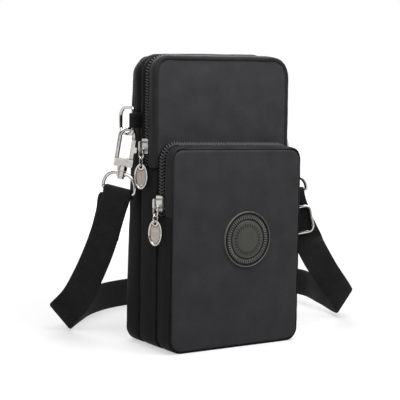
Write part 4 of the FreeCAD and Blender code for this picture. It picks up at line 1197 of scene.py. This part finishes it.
# pale floor, white surroundings and soft studio light
studio = {
    "floorSize": 60.0, "ambient": 0.2, "aim": (0, 0, 0.1),
    "floorPaper": 0.55,
    "floorGlow": (0.5, 1.0),  # under the pouch, and far off where the paper runs into the white
    "glowReach": (0.25, 1.1),  # metres
    "lamps": [  # place, size, watts
        ((0.03, -0.21, 0.48), 0.35, 2.0),
        ((-0.4, -0.15, 0.5), 0.35, 1.0),
        ((0.35, 0.9, 0.9), 0.9, 8.0),
    ],
    "flags": [  # black cards beside the camera and at the left: place, width, height
        ((-0.62, -0.95, 0.3), 1.7, 1.1),
        ((-1.08, -0.22, 0.3), 0.28, 1.4),
        ((-1.06, 0.28, 0.3), 0.28, 1.4),
    ],
}


def whiteRays(material):
    rays = addNode(material, "ShaderNodeLightPath")
    seen = addNode(material, "ShaderNodeMath", {"operation": "MAXIMUM"},
                   {0: rays.outputs["Is Camera Ray"], 1: rays.outputs["Is Glossy Ray"]})
    return addNode(material, "ShaderNodeMath", {"operation": "MAXIMUM"},
                   {0: seen.outputs["Value"], 1: rays.outputs["Is Transmission Ray"]})


def addFloor(setup):
    deselect()
    bpy.ops.mesh.primitive_plane_add(size=setup["floorSize"])
    floor = bpy.context.object
    floor.name = "floor"
    paint = newMaterial("matt_white_paper")
    seen = whiteRays(paint)
    paper = setup["floorPaper"]
    matt = addNode(paint, "ShaderNodeBsdfDiffuse", None, {"Color": (paper, paper, paper, 1)})
    spot = addNode(paint, "ShaderNodeTexCoord")
    away = addNode(paint, "ShaderNodeVectorMath", {"operation": "LENGTH"}, {0: spot.outputs["Object"]})
    level = addNode(paint, "ShaderNodeMapRange", {"interpolation_type": "SMOOTHSTEP"},
                    {"Value": away.outputs["Value"], "From Min": setup["glowReach"][0],
                     "From Max": setup["glowReach"][1], "To Min": setup["floorGlow"][0],
                     "To Max": setup["floorGlow"][1]})
    glow = addNode(paint, "ShaderNodeEmission", None,
                   {"Color": (1, 1, 1, 1), "Strength": level.outputs["Result"]})
    both = addNode(paint, "ShaderNodeAddShader", None, {0: glow.outputs["Emission"], 1: matt.outputs["BSDF"]})
    chosen = addNode(paint, "ShaderNodeMixShader", None,
                     {"Fac": seen.outputs["Value"], 1: matt.outputs["BSDF"], 2: both.outputs["Shader"]})
    addNode(paint, "ShaderNodeOutputMaterial", None, {"Surface": chosen.outputs["Shader"]})
    floor.data.materials.append(paint)


def addLights(setup):
    world = bpy.data.worlds.new("studio")
    bpy.context.scene.world = world
    world.use_nodes = True
    world.node_tree.nodes.clear()
    seen = whiteRays(world)
    level = addNode(world, "ShaderNodeMapRange", None,
                    {"Value": seen.outputs["Value"], "To Min": setup["ambient"], "To Max": 1.0})
    sky = addNode(world, "ShaderNodeBackground", None,
                  {"Color": (1, 1, 1, 1), "Strength": level.outputs["Result"]})
    addNode(world, "ShaderNodeOutputWorld", None, {"Surface": sky.outputs["Background"]})
    for place, size, watts in setup["lamps"]:
        data = bpy.data.lights.new("softbox", "AREA")
        data.size = size
        data.energy = watts
        lamp = bpy.data.objects.new("softbox", data)
        bpy.context.scene.collection.objects.link(lamp)
        lamp.location = place
        lamp.rotation_euler = (Vector(studio["aim"]) - Vector(place)).to_track_quat("-Z", "Y").to_euler()


# black cards that only reflections see, which give polished metal its dark lines
def addFlag(place, wide, tall):
    deselect()
    bpy.ops.mesh.primitive_plane_add(size=1)
    card = bpy.context.object
    card.name = "flag"
    card.scale = (wide, tall, 1)
    card.location = place
    card.rotation_euler = (Vector(studio["aim"]) - Vector(place)).to_track_quat("Z", "Y").to_euler()
    felt = newMaterial("black_felt")
    matt = addNode(felt, "ShaderNodeBsdfDiffuse", None, {"Color": linearColour("#2c2c2c")})
    addNode(felt, "ShaderNodeOutputMaterial", None, {"Surface": matt.outputs["BSDF"]})
    card.data.materials.append(felt)
    for seenBy in ("camera", "diffuse", "transmission", "volume_scatter", "shadow"):
        setattr(card, "visible_" + seenBy, False)


addFloor(studio)
addLights(studio)
for flag in studio["flags"]:
    addFlag(*flag)
bpy.context.scene.view_settings.view_transform = "Standard"
print("studio set")
